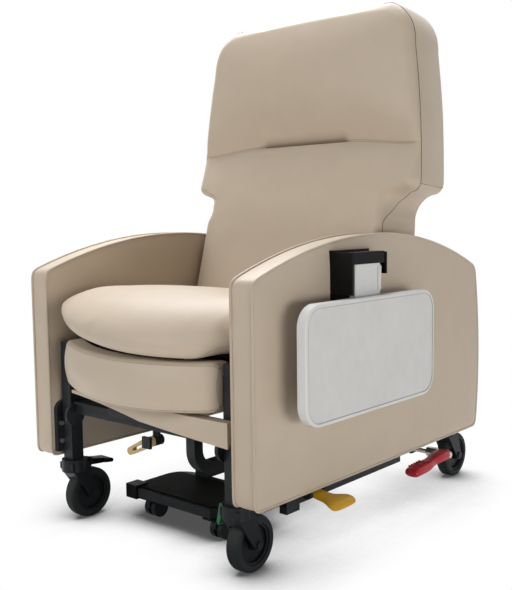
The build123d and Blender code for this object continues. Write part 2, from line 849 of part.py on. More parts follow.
lever_pin_y = pivot_y + lever_pin_back
lever_pin_z = pivot_z - lever_pin_down
with BuildPart() as gas_rod:
    rod_y(0, (rod_inner, lever_pin_y - rod_eye_half), gas_z, rod_radius)
    eye_y = (lever_pin_y - rod_eye_half, lever_pin_y + rod_eye_half)
    eye_x = (-rod_eye_thick / 2, rod_eye_thick / 2)
    block(eye_x, eye_y, (gas_z - rod_eye_high, gas_z + rod_eye_high))
    slot_radius = lever_pin_radius + rod_slot_room
    slot_x = (eye_x[0] - overrun, eye_x[1] + overrun)
    slot_ends = (
        (lever_pin_y, gas_z - lever_sag, slot_radius),
        (lever_pin_y, gas_z + lever_sag, slot_radius),
    )
    side_hull(slot_x, slot_ends, mode=Mode.SUBTRACT)
finish(gas_rod, "gas_rod")

# The back leans. Its own plane has x to the side, y up along the lean, z towards the sitter.
lean_sin = math.sin(math.radians(lean))
lean_cos = math.cos(math.radians(lean))
back_plane = Plane((0, back_foot_y, back_foot_z), x_dir=(1, 0, 0), z_dir=(0, -lean_cos, lean_sin))
# Side view of the back: x up along the lean, y towards the sitter
back_side = Plane(back_plane.origin, x_dir=(0, lean_sin, lean_cos), z_dir=(1, 0, 0))
# Plan view of the back: x to the side, y towards the sitter
back_plan = Plane(back_plane.origin, x_dir=(1, 0, 0), z_dir=(0, -lean_sin, -lean_cos))


def back_point(v, w):
    """Depth and height in the chair of a point v up the back and w in front of its seam."""
    return back_foot_y + v * lean_sin - w * lean_cos, back_foot_z + v * lean_cos + w * lean_sin


# The whole back as one form, from which its two pieces are cut: an upper half crowned towards
# the sitter, above a wedge that comes forward to the seat
form_front = lumbar_wedge + cross_crown + overrun
form_rear = back_deep_shoulder + overrun
form_half = wing_low[0] + overrun


def cross_section(v, lift):
    """Plan of the back at v, crowned across, with its front lifted towards the sitter."""
    level = Plane(back_plane.origin + back_plane.y_dir * v, x_dir=(1, 0, 0), z_dir=back_plan.z_dir)
    with BuildSketch(level) as section:
        with BuildLine():
            left = (-form_half, lift + cross_edge)
            right = (form_half, lift + cross_edge)
            ThreePointArc(left, (0, lift + cross_crown), right)
            Line(right, (form_half, -form_rear))
            Line((form_half, -form_rear), (-form_half, -form_rear))
            Line((-form_half, -form_rear), left)
        make_face()
    return section.sketch


with BuildPart() as back_form:
    with BuildSketch(back_plane.offset(form_front)):
        with BuildLine():
            low_end = (back_low_half, wing_inner_v)
            Line((-back_low_half, back_low), (back_low_half, back_low))
            Line((back_low_half, back_low), low_end)
            ThreePointArc(low_end, notch_mid, notch_end)
            ThreePointArc(notch_end, wing_low_mid, wing_low)
            ThreePointArc(wing_low, wing_side_mid, shoulder_low)
            ThreePointArc(shoulder_low, shoulder_mid, shoulder_top)
            ThreePointArc(shoulder_top, (0, back_top), (-shoulder_top[0], shoulder_top[1]))
            ThreePointArc(
                (-shoulder_top[0], shoulder_top[1]),
                (-shoulder_mid[0], shoulder_mid[1]),
                (-shoulder_low[0], shoulder_low[1]),
            )
            ThreePointArc(
                (-shoulder_low[0], shoulder_low[1]),
                (-wing_side_mid[0], wing_side_mid[1]),
                (-wing_low[0], wing_low[1]),
            )
            ThreePointArc(
                (-wing_low[0], wing_low[1]),
                (-wing_low_mid[0], wing_low_mid[1]),
                (-notch_end[0], notch_end[1]),
            )
            ThreePointArc(
                (-notch_end[0], notch_end[1]),
                (-notch_mid[0], notch_mid[1]),
                (-back_low_half, wing_inner_v),
            )
            Line((-back_low_half, wing_inner_v), (-back_low_half, back_low))
        make_face()
    extrude(amount=-(form_front + form_rear))
    with BuildSketch(back_side.offset(-form_half)):
        with BuildLine():
            dip = (lumbar_v, -lumbar_dip)
            upper_mid = ((lumbar_v + back_top) / 2, upper_crown)
            wedge_mid = (lumbar_wedge - lumbar_dip) / 2 + lumbar_bow
            ThreePointArc((back_low, lumbar_wedge), ((back_low + lumbar_v) / 2, wedge_mid), dip)
            ThreePointArc(dip, upper_mid, (back_top, -top_dip))
            Line((back_top, -top_dip), (back_top, -back_deep_top))
            Line((back_top, -back_deep_top), (shoulder_low[1], -back_deep_shoulder))
            Line((shoulder_low[1], -back_deep_shoulder), (wing_low_mid[1], -back_deep_wing))
            Line((wing_low_mid[1], -back_deep_wing), (wing_inner_v, -back_deep_notch))
            Line((wing_inner_v, -back_deep_notch), (back_low, -back_deep_low))
            Line((back_low, -back_deep_low), (back_low, lumbar_wedge))
        make_face()
    extrude(amount=2 * form_half, mode=Mode.INTERSECT)
    levels = ((back_low, cross_lift), (lumbar_v, 0), (back_top + overrun, 0))
    loft([cross_section(v, lift) for v, lift in levels], ruled=True, mode=Mode.INTERSECT)
    with BuildSketch(back_side.offset(-tuft_half)):
        with Locations((tuft_v, 0)):
            Ellipse(tuft_high, tuft_deep + lumbar_dip)
    extrude(amount=2 * tuft_half, mode=Mode.SUBTRACT)
back_form.part.label = "back_form"


plate_outer = upright_x + upright_size / 2
plate_foot = back_point(upright_foot + back_plate_end, back_plate_end + plate_proud - cover_depth)


def back_bars(mode=Mode.ADD):
    """The bars inside the back, two uprights and two cross bars, with their pivot plates."""
    upright_long = upright_top - upright_foot
    middle_v = (upright_top + upright_foot) / 2
    bar_w = -cover_depth + upright_size / 2
    turn = (-lean, 0, 0)
    for sign in (-1, 1):
        place = (sign * upright_x, *back_point(middle_v, bar_w))
        with Locations(Location(place, turn)):
            Box(upright_size, upright_size, upright_long, mode=mode)
        plate_x = sorted((sign * plate_outer, sign * (plate_outer - pivot_plate_thick)))
        plate_rounds = (
            (pivot_y, pivot_z, pivot_plate_radius),
            (*plate_foot, back_plate_end),
        )
        side_hull(plate_x, plate_rounds, mode=mode)
    for v in (back_cross_low, upright_top - upright_size / 2):
        with Locations(Location((0, *back_point(v, bar_w)), turn)):
            Box(2 * upright_x, upright_size, upright_size, mode=mode)


cover_cut = back_plane.offset(-cover_depth)
with BuildPart() as back_cushion:
    add(back_form.part)
    split(bisect_by=cover_cut, keep=Keep.TOP)
    back_bars(mode=Mode.SUBTRACT)
finish(back_cushion, "back_cushion")

with BuildPart() as back_cover:
    add(back_form.part)
    split(bisect_by=cover_cut, keep=Keep.BOTTOM)
finish(back_cover, "back_cover")

# Back frame: bars inside the back, pivot plates, pivot tube and lever of the gas spring
with BuildPart() as back_frame:
    back_bars()
    rod_x((-plate_outer, plate_outer), pivot_y, pivot_z, pivot_tube_radius)
    for sign in (-1, 1):
        pin_bore_x = sorted((sign * (pivot_pin_end - overrun), sign * (plate_outer + overrun)))
        rod_x(pin_bore_x, pivot_y, pivot_z, pivot_radius + run_gap, mode=Mode.SUBTRACT)
        lever_x_range = sorted((sign * lever_pin_half, sign * (lever_pin_half - lever_plate_thick)))
        lever_rounds = (
            (pivot_y, pivot_z, lever_end_radius),
            (lever_pin_y, lever_pin_z, lever_end_radius),
        )
        side_hull(lever_x_range, lever_rounds)
    rod_x((-lever_pin_half, lever_pin_half), lever_pin_y, lever_pin_z, lever_pin_radius)
finish(back_frame, "back_frame")

# Casters: fork with its stem and axle, wheel centre and tyre, each at rest trailing backwards
fork_outer = fork_gap / 2 + fork_leg
pedal_half = pedal_lug_half + slide_gap + pedal_cheek


def side_lug():
    """The pedal's lug and pin, on the side of a caster head that faces +Y."""
    lug_y = (head_radius / 2, pedal_pin_out + pedal_pin_radius + slide_gap)
    block((-pedal_lug_half, pedal_lug_half), lug_y, (pedal_lug_low, pedal_lug_high))
    rod_x((-pedal_half, pedal_half), pedal_pin_out, pedal_pin_high, pedal_pin_radius)


def fork_form(lug_turn):
    """A caster fork at the stem's axis, with a pedal lug turned about it, or none."""
    with BuildPart() as form:
        if lug_turn is not None:
            side_lug()
            form.part = form.part.rotate(Axis.Z, lug_turn)
        with BuildSketch(Plane.YZ.offset(-fork_outer)):
            with Locations((trail, wheel_radius)):
                Circle(fork_boss)
            with Locations((0, (head_low + head_high) / 2)):
                Rectangle(2 * fork_shoulder, (head_high - head_low) / 2)
            make_hull()
        extrude(amount=2 * fork_outer)
        rod_z(0, 0, (head_low, head_high), head_radius)
        room_x = (-fork_gap / 2, fork_gap / 2)
        rod_x(room_x, trail, wheel_radius, wheel_radius + wheel_room, mode=Mode.SUBTRACT)
        rod_z(0, 0, (head_high, post_foot + stem_length), stem_radius)
        rod_x((-fork_outer, fork_outer), trail, wheel_radius, axle_radius)
        for sign in (-1, 1):
            bolt_x = sorted((sign * fork_outer, sign * (fork_outer + axle_head_thick)))
            rod_x(bolt_x, trail, wheel_radius, axle_head)
    return form.part


def wheel_centre(mode=Mode.ADD):
    """The wheel's plastic centre about the axle, recessed on both sides."""
    rim_radius = wheel_radius - tyre_depth
    rim_half = rim_width / 2
    rod_x((-rim_half, rim_half), trail, wheel_radius, rim_radius, mode=mode)
    for sign in (-1, 1):
        cut_x = sorted((sign * (rim_half - rim_recess), sign * (rim_half + overrun)))
        rod_x(cut_x, trail, wheel_radius, rim_radius - rim_lip, mode=Mode.SUBTRACT)
    hub_half = fork_gap / 2 - slide_gap
    rod_x((-hub_half, hub_half), trail, wheel_radius, wheel_hub)
    bore_x = (-hub_half - overrun, hub_half + overrun)
    rod_x(bore_x, trail, wheel_radius, axle_radius + run_gap, mode=Mode.SUBTRACT)


def brake_pedal(tip_out, tip_high, tip_radius, pad_from):
    """A pedal on the lug's pin, about the stem's axis, that faces +Y."""
    boss = (pedal_pin_out, pedal_pin_high, pedal_boss)
    side_hull((-pedal_half, pedal_half), (boss, (tip_out, tip_high, tip_radius)))
    if pad_from:
        pad_high = tip_high + (pedal_pin_high - tip_high) * (tip_out - pad_from) / (tip_out - pedal_pin_out)
        pad = ((pad_from, pad_high, tip_radius), (tip_out, tip_high, tip_radius))
        side_hull((-pedal_pad_half, pedal_pad_half), pad)
    lug_room = pedal_lug_half + slide_gap
    room_y = (head_radius / 2, pedal_pin_out + pedal_boss + tip_radius)
    room_z = (pedal_lug_low - overrun * 2, pedal_lug_high + overrun)
    block((-lug_room, lug_room), room_y, room_z, mode=Mode.SUBTRACT)
    bore_x = (-pedal_half - overrun, pedal_half + overrun)
    rod_x(bore_x, pedal_pin_out, pedal_pin_high, pedal_pin_radius + run_gap, mode=Mode.SUBTRACT)


casters = (
    ("front_left", post_x, front_post_y, steer_turn),
    ("front_right", -post_x, front_post_y, 0),
    ("rear_left", post_x, rear_post_y, 0),
    ("rear_right", -post_x, rear_post_y, 0),
)
for name, x, y, turn in casters:
    at_stem = Location((x, y, 0))
    with BuildPart() as fork:
        add(fork_form(turn).moved(at_stem))
    finish(fork, f"{name}_fork")

    with BuildPart() as wheel:
        wheel_centre()
        wheel.part = wheel.part.moved(at_stem)
    finish(wheel, f"{name}_wheel")

    with BuildPart() as tyre:
        tyre_x = (-tyre_width / 2, tyre_width / 2)
        rod_x(tyre_x, trail, wheel_radius, wheel_radius)
        fillet(edges().filter_by(GeomType.CIRCLE), radius=tyre_round)
        tyre_bore = (tyre_x[0] - overrun, tyre_x[1] + overrun)
        rod_x(tyre_bore, trail, wheel_radius, wheel_radius - tyre_depth, mode=Mode.SUBTRACT)
        tyre.part = tyre.part.moved(at_stem)
    finish(tyre, f"{name}_tyre")

    with BuildPart() as pedal:
        if name == "front_left":
            brake_pedal(steer_tip, steer_tip_high, steer_tip_radius, None)
        else:
            brake_pedal(pedal_tip, pedal_tip_high, pedal_tip_radius, pedal_pad_from)
        pedal.part = pedal.part.rotate(Axis.Z, turn).moved(at_stem)
    finish(pedal, "steer_pedal" if name == "front_left" else f"{name}_brake_pedal")

# Tray: rimmed top, inner face, neck, hinge block, latch and the bracket on the arm
tray_outer = tray_rear_x + tray_thick
tray_mid_y = tray_front_y + tray_long / 2
tray_mid_z = tray_low + tray_high / 2
with BuildPart() as tray_top:
    with BuildSketch(Plane.YZ.offset(tray_rear_x)):
        with Locations((tray_mid_y, tray_mid_z)):
            RectangleRounded(tray_long, tray_high, tray_corner)
    extrude(amount=tray_thick)
    fillet(edges().filter_by(Plane.YZ), radius=tray_edge)
    with BuildSketch(Plane.YZ.offset(tray_outer - tray_recess)):
        with Locations((tray_mid_y, tray_mid_z)):
            inner_corner = tray_corner - tray_rim
            RectangleRounded(tray_long - 2 * tray_rim, tray_high - 2 * tray_rim, inner_corner)
    extrude(amount=tray_recess + overrun, mode=Mode.SUBTRACT)
finish(tray_top, "tray_top")

with BuildPart() as tray_face:
    with BuildSketch(Plane.YZ.offset(tray_outer - tray_recess)):
        with Locations((tray_mid_y, tray_mid_z)):
            RectangleRounded(tray_long - 2 * tray_rim, tray_high - 2 * tray_rim, inner_corner)
    extrude(amount=tray_panel_thick)
finish(tray_face, "tray_face")

with BuildPart() as tray_neck:
    neck_x = (tray_rear_x - neck_thick, tray_rear_x)
    neck_y = (neck_front, neck_front + neck_wide)
    block(neck_x, neck_y, (neck_low, neck_high))
    panel_x = (tray_rear_x - neck_recess, tray_rear_x + overrun)
    panel_y = (neck_y[0] + neck_frame, neck_y[1] - neck_frame)
    block(panel_x, panel_y, (neck_panel_low, neck_high - neck_frame), mode=Mode.SUBTRACT)
    latch_pin_y = (neck_y[1], latch_y + latch_thick)
    rod_y(hinge_x, latch_pin_y, latch_pin_z, latch_pin_radius)
finish(tray_neck, "tray_neck")

with BuildPart() as tray_hinge:
    hinge_block_x = (hinge_x - hinge_block_half, hinge_x + hinge_block_half)
    hinge_block_y = (hinge_block_front, hinge_block_rear)
    block(hinge_block_x, hinge_block_y, (hinge_block_low, hinge_block_high))
    pin_bore_y = (hinge_block_front - overrun, hinge_block_rear + overrun)
    rod_y(hinge_x, pin_bore_y, hinge_z, hinge_pin_radius + run_gap, mode=Mode.SUBTRACT)
finish(tray_hinge, "tray_hinge")

with BuildPart() as tray_latch:
    latch_span = (latch_y, latch_y + latch_thick)
    latch_rounds = (
        (hinge_x, latch_pin_z, latch_wide / 2 + latch_pin_radius / 2),
        (hinge_x, latch_low, latch_wide / 2),
    )
    front_hull(latch_span, latch_rounds)
    latch_bore = (latch_y - overrun, latch_y + latch_thick + overrun)
    rod_y(hinge_x, latch_bore, latch_pin_z, latch_pin_radius + run_gap, mode=Mode.SUBTRACT)
    with Locations((hinge_x, latch_y + latch_thick / 2, latch_low)):
        Sphere(latch_knob)
finish(tray_latch, "tray_latch")

with BuildPart() as tray_bracket:
    plate_x = (arm_outer, arm_outer + bracket_plate)
    plate_y = (tray_bracket_front, tray_bracket_rear)
    block(plate_x, plate_y, (tray_bracket_low, tray_bracket_high))
    front_cheek_y = (tray_bracket_front, tray_bracket_front + bracket_plate)
    rear_cheek_y = (tray_bracket_rear - bracket_plate, tray_bracket_rear)
    block((plate_x[1], front_cheek_x), front_cheek_y, (front_cheek_low, front_cheek_high))
    block((plate_x[1], rear_cheek_x), rear_cheek_y, (rear_cheek_low, rear_cheek_high))
    rod_y(hinge_x, plate_y, hinge_z, hinge_pin_radius)
finish(tray_bracket, "tray_bracket")

# Steel channel under the left arm with the lugs and pin of the yellow pedal
with BuildPart() as channel:
    channel_x = (channel_inner, channel_outer)
    block(channel_x, (channel_front, channel_rear), (channel_low, arm_bottom))
    hollow_x = (channel_inner + channel_wall, channel_outer - channel_wall)
    hollow_y = (channel_front - overrun, channel_rear + overrun)
    hollow_z = (channel_low + channel_wall, arm_bottom - channel_wall)
    block(hollow_x, hollow_y, hollow_z, mode=Mode.SUBTRACT)
    block(channel_x, (channel_front, channel_front + clamp_long), (clamp_low, channel_low))
    lug_front = (yellow_front, yellow_front + yellow_lug_thick)
    lug_rear = (yellow_rear - yellow_lug_thick, yellow_rear)
    for lug_y in (lug_front, lug_rear):
        lug_x = (channel_outer, yellow_pin_x)
        lug_z = (yellow_pin_z - yellow_boss, yellow_pin_z + yellow_boss)
        block(lug_x, lug_y, lug_z)
        rod_y(yellow_pin_x, lug_y, yellow_pin_z, yellow_boss)
    rod_y(yellow_pin_x, (yellow_front, yellow_rear), yellow_pin_z, yellow_pin_radius)
finish(channel, "side_channel")

with BuildPart() as yellow_pedal:
    neck_y = (lug_front[1] + slide_gap, lug_rear[0] - slide_gap)
    neck_rounds = (
        (yellow_pin_x, yellow_pin_z, yellow_boss - slide_gap),
        (yellow_neck_x, yellow_neck_z, yellow_neck_radius),
    )
    front_hull(neck_y, neck_rounds)
    pad_rounds = (
        (yellow_neck_x, yellow_neck_z, yellow_pad_radius),
        (yellow_pad_x, yellow_pad_z, yellow_pad_radius),
    )
    front_hull((yellow_pad_front, yellow_pad_rear), pad_rounds)
    bore_y = (yellow_front, yellow_rear)
    rod_y(yellow_pin_x, bore_y, yellow_pin_z, yellow_pin_radius + run_gap, mode=Mode.SUBTRACT)
finish(yellow_pedal, "yellow_pedal")

# Brake shaft across the rear and the red rocker pedal on its left end
with BuildPart() as brake_shaft:
    rod_x((-shaft_end, red_x + red_half), shaft_y, shaft_z, shaft_radius)
    hex_x = red_x - red_half - hex_long
    with BuildSketch(Plane.YZ.offset(hex_x)):
        with Locations((shaft_y, shaft_z)):
            RegularPolygon(hex_half, 6)
    extrude(amount=hex_long)
finish(brake_shaft, "brake_shaft")

with BuildPart() as red_pedal:
    red_x_range = (red_x - red_half, red_x + red_half)
    waist_x = (red_x - red_waist_half, red_x + red_waist_half)
    heel = (shaft_y, shaft_z, red_heel_radius)
    side_hull(red_x_range, (heel, (*red_heel, red_heel_radius), (*red_mid, red_mid_radius)))
    side_hull(waist_x, ((*red_mid, red_mid_radius), (*red_ball, red_toe_radius)))
    side_hull(red_x_range, ((*red_ball, red_toe_radius), (*red_toe, red_toe_radius)))
    red_bore = (red_x_range[0] - overrun, red_x_range[1] + overrun)
    rod_x(red_bore, shaft_y, shaft_z, shaft_radius, mode=Mode.SUBTRACT)
finish(red_pedal, "red_pedal")

# Hub of the tan lever under the cross bar, and the lever on its spindle
lever_front = lever_hub_front - slide_gap
lever_plane_y = (lever_front - lever_thick, lever_front)
with BuildPart() as lever_hub:
    stub_y = (lever_hub_rear + lever_hub_front) / 2
    rod_z(lever_x, stub_y, (lever_z, cross_bar_low), lever_stub_radius)
    rod_y(lever_x, (lever_hub_front, lever_hub_rear), lever_z, lever_hub_radius)
    cap_y = (lever_plane_y[0] - slide_gap - lever_cap_thick, lever_plane_y[0] - slide_gap)
    rod_y(lever_x, (cap_y[0], lever_hub_front), lever_z, lever_spindle)
    cap_x = (lever_x - lever_cap_half, lever_x + lever_cap_half)
    block(cap_x, cap_y, (lever_z - lever_cap_half, lever_z + lever_cap_half))
finish(lever_hub, "lever_hub")

with BuildPart() as tan_lever:
    front_hull(lever_plane_y, ((lever_x, lever_z, lever_boss), (*lever_tip, lever_tip_radius)))
    lever_bore = (lever_plane_y[0] - overrun, lever_plane_y[1] + overrun)
    rod_y(lever_x, lever_bore, lever_z, lever_spindle + run_gap, mode=Mode.SUBTRACT)
    slot_start_share = 0.4
    slot_end_share = 0.8
    slot = []
    for share in (slot_start_share, slot_end_share):
        slot_x_at = lever_x + share * (lever_tip[0] - lever_x)
        slot_z_at = lever_z + share * (lever_tip[1] - lever_z)
        slot.append((slot_x_at, slot_z_at, lever_slot_radius))
    front_hull(lever_bore, slot, mode=Mode.SUBTRACT)
finish(tan_lever, "tan_lever")


def plate_outline():
    """Plan view of the foot platform, as a face in the current sketch."""
    with BuildLine() as outline:
        Polyline(
            (plate_left, plate_front + plate_nick),
            (plate_left + plate_nick, plate_front),
            (plate_chamfer_x, plate_front),
            (plate_right, plate_chamfer_y),
            (plate_right, 0),
            (plate_left + plate_rear_round, 0),
        )
        rear_left_share = 1 - 1 / math.sqrt(2)
        corner = plate_rear_round * rear_left_share
        rear_left = (plate_left + corner, -corner)
        ThreePointArc((plate_left + plate_rear_round, 0), rear_left, (plate_left, -plate_rear_round))
        Line((plate_left, -plate_rear_round), (plate_left, plate_front + plate_nick))
    make_face(outline.edges())


# Foot platform with its mat, rails, corner clips, caster mounts and twin-wheel casters
with BuildPart() as foot_platform:
    with BuildSketch(Plane.XY.offset(plate_low)):
        plate_outline()
    extrude(amount=plate_high - plate_low)
    for x, y in twin_places:
        hole_z = (plate_low - overrun, plate_low - twin_mount_thick + twin_stem_long)
        rod_z(x, y, hole_z, twin_stem + run_gap, mode=Mode.SUBTRACT)
finish(foot_platform, "foot_platform")

with BuildPart() as platform_mat:
    with BuildSketch(Plane.XY.offset(plate_high)):
        plate_outline()
        offset(amount=-mat_inset, mode=Mode.REPLACE)
    extrude(amount=mat_thick)
    room_x = (plate_left - overrun, plate_right + overrun)
    room_z = (plate_high, plate_high + mat_thick)
    block(room_x, (mat_rear, overrun), room_z, mode=Mode.SUBTRACT)
finish(platform_mat, "platform_mat")

with BuildPart() as platform_rails:
    for x in foot_rail_xs:
        rail_x = (x - foot_rail_wide / 2, x + foot_rail_wide / 2)
        rail_z = (plate_high, plate_high + foot_rail_high)
        block(rail_x, (foot_rail_front, foot_rail_rear), rail_z)
finish(platform_rails, "platform_rails")

with BuildPart() as platform_guides:
    guide_y = (foot_guide_front, foot_guide_front + foot_guide_long)
    rail_top = plate_high + foot_rail_high
    guide_top = rail_top + slide_gap + foot_guide_wall
    for x in foot_rail_xs:
        half = foot_rail_wide / 2 + slide_gap
        outer_x = (x - half - foot_guide_wall, x + half + foot_guide_wall)
        block(outer_x, guide_y, (plate_high - slide_gap - foot_guide_wall, guide_top))
        room_y = (guide_y[0] - overrun, guide_y[1] + overrun)
        room_z = (plate_high - slide_gap, rail_top + slide_gap)
        block((x - half, x + half), room_y, room_z, mode=Mode.SUBTRACT)
    bar_x = (foot_rail_xs[0], keel_x + keel_half)
    block(bar_x, guide_y, (guide_top, guide_top + foot_guide_bar))
    riser_x = (keel_x - keel_half, keel_x + keel_half)
    block(riser_x, guide_y, (guide_top, keel_z - keel_half))
finish(platform_guides, "platform_guides")

with BuildPart() as platform_clips:
    clip_z = (clip_low, clip_high)
    left_x = (plate_left - clip_reach, plate_left + clip_long)
    clip_y = (plate_front - clip_reach, plate_front + clip_long)
    block(left_x, clip_y, clip_z)
    right_x = (plate_chamfer_x, plate_chamfer_x + clip_long)
    right_mid_y = plate_front + clip_long
    block(right_x, (right_mid_y - clip_long / 2, right_mid_y + clip_long), clip_z)
    with BuildSketch(Plane.XY.offset(plate_low)):
        plate_outline()
    extrude(amount=plate_high + mat_thick - plate_low, mode=Mode.SUBTRACT)
    for x, y in twin_places:
        mount_x = (x - twin_mount_half, x + twin_mount_half)
        mount_y = (y - twin_mount_half, y + twin_mount_half)
        block(mount_x, mount_y, (plate_low - twin_mount_thick, plate_low))
        hole_z = (clip_low - overrun, plate_low + overrun)
        rod_z(x, y, hole_z, twin_stem + run_gap, mode=Mode.SUBTRACT)
finish(platform_clips, "platform_clips")

twin_top = plate_low - twin_mount_thick - slide_gap
for (x, y), name in zip(twin_places, ("right_twin", "left_twin")):
    with BuildPart() as hood:
        hood_rounds = (
            (y, twin_top - twin_hood_radius, twin_hood_radius),
            (y + twin_trail, twin_radius, twin_hood_radius),
        )
        side_hull((x - twin_web_half, x + twin_web_half), hood_rounds)
        stem_z = (twin_top - twin_hood_radius, plate_low - twin_mount_thick + twin_stem_long)
        rod_z(x, y, stem_z, twin_stem)
        web_cut = (x - twin_web_half - overrun, x + twin_web_half + overrun)
        rod_x(web_cut, y + twin_trail, twin_radius, twin_axle + run_gap, mode=Mode.SUBTRACT)
    finish(hood, f"{name}_hood")

    with BuildPart() as twin_wheels:
        wheel_in = twin_web_half + twin_gap
        for sign in (-1, 1):
            wheel_x = sorted((x + sign * wheel_in, x + sign * (wheel_in + twin_width)))
            rod_x(wheel_x, y + twin_trail, twin_radius, twin_radius)
        rod_x((x - wheel_in, x + wheel_in), y + twin_trail, twin_radius, twin_axle)
    finish(twin_wheels, f"{name}_wheels")
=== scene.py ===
import math
import random

import bmesh
import bpy
import numpy as np
from mathutils import Matrix, Vector, noise


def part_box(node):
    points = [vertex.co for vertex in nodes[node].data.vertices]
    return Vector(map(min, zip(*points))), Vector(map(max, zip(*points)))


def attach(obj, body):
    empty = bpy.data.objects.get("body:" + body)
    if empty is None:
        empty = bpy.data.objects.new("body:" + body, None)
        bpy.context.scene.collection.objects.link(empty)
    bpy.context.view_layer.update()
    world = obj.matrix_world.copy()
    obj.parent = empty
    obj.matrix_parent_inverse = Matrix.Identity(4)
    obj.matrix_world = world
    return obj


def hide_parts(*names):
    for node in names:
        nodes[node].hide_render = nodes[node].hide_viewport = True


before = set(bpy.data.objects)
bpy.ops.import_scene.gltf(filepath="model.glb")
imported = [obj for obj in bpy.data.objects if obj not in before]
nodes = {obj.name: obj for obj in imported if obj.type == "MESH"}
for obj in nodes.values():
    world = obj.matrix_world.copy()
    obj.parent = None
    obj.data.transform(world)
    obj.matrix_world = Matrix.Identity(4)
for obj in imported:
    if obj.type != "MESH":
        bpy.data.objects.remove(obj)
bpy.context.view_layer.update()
random.seed(11)

# Every place is in millimetres from the chair's middle, floor and platform rear, as in the frame
MM = 0.001
frame_low, frame_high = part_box("front_frame")
MIDDLE = Vector(((frame_low.x + frame_high.x) / 2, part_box("foot_platform")[1].y, 0.0))


def at(x, y, z):
    """A point given in millimetres from the chair's middle, in metres in the frame."""
    return MIDDLE + Vector((x, y, z)) * MM


def in_chair(point):
    """The place of a point of the frame, in millimetres from the chair's middle."""
    return (point - MIDDLE) / MM


# Camera, as the photograph's
EYE = at(1458.75, -1572.68, 753.23)
CAMERA_YAW = math.radians(-41.156)
CAMERA_PITCH = math.radians(-5.170)
CAMERA_ROLL = math.radians(-0.770)
CAMERA_LENS = 52.27

camera = bpy.data.objects.new("camera", bpy.data.cameras.new("camera"))
camera.data.lens = CAMERA_LENS
camera.data.clip_end = 50.0
flat_forward = Vector((math.sin(CAMERA_YAW), math.cos(CAMERA_YAW), 0.0))
forward = flat_forward * math.cos(CAMERA_PITCH) + Vector((0, 0, math.sin(CAMERA_PITCH)))
level_right = Vector((math.cos(CAMERA_YAW), -math.sin(CAMERA_YAW), 0.0))
level_up = level_right.cross(forward)
right = level_right * math.cos(CAMERA_ROLL) + level_up * math.sin(CAMERA_ROLL)
up = level_up * math.cos(CAMERA_ROLL) - level_right * math.sin(CAMERA_ROLL)
turn = Matrix((right, up, -forward)).transposed().to_4x4()
camera.matrix_world = Matrix.Translation(EYE) @ turn
bpy.context.scene.collection.objects.link(camera)
bpy.context.scene.camera = camera


# Shader groups for effects that several materials share
def new_group(name, inputs, outputs):
    """A shader node group with float inputs (name, default) and outputs (name, kind)."""
    group = bpy.data.node_groups.new(name, "ShaderNodeTree")
    for label, value in inputs:
        socket = group.interface.new_socket(label, in_out="INPUT", socket_type="NodeSocketFloat")
        socket.default_value = value
    for label, kind in outputs:
        group.interface.new_socket(label, in_out="OUTPUT", socket_type=kind)
    enter = group.nodes.new("NodeGroupInput")
    leave = group.nodes.new("NodeGroupOutput")
    return group, enter, leave


def put(tree, kind, **settings):
    """A new node in a tree, with its settings."""
    node = tree.nodes.new(kind)
    for name, value in settings.items():
        setattr(node, name, value)
    return node


def math_node(tree, operation, first, second):
    """A Math node, whose two terms are sockets or numbers."""
    node = put(tree, "ShaderNodeMath", operation=operation)
    for place, term in enumerate((first, second)):
        if isinstance(term, bpy.types.NodeSocket):
            tree.links.new(term, node.inputs[place])
        else:
            node.inputs[place].default_value = term
    return node.outputs[0]


def build_grain():
    """Embossed vinyl grain: fine pebbles over a slow swell, as a height and a shade mask."""
    group, enter, leave = new_group(
        "vinyl grain",
        (("Pebbles per metre", 900.0), ("Pebble height", 0.5), ("Swell", 0.5)),
        (("Height", "NodeSocketFloat"), ("Shade", "NodeSocketFloat")),
    )
    where = put(group, "ShaderNodeTexCoord").outputs["Object"]
    pebbles = put(group, "ShaderNodeTexVoronoi", feature="SMOOTH_F1")
    group.links.new(where, pebbles.inputs["Vector"])
    group.links.new(enter.outputs["Pebbles per metre"], pebbles.inputs["Scale"])
    swell = put(group, "ShaderNodeTexNoise")
    swell.inputs["Scale"].default_value = 14.0
    swell.inputs["Detail"].default_value = 5.0
    group.links.new(where, swell.inputs["Vector"])
    raised = math_node(group, "MULTIPLY", pebbles.outputs["Distance"], enter.outputs["Pebble height"])
    swollen = math_node(group, "MULTIPLY", swell.outputs["Fac"], enter.outputs["Swell"])
    group.links.new(math_node(group, "ADD", raised, swollen), leave.inputs["Height"])
    group.links.new(swell.outputs["Fac"], leave.inputs["Shade"])
    return group


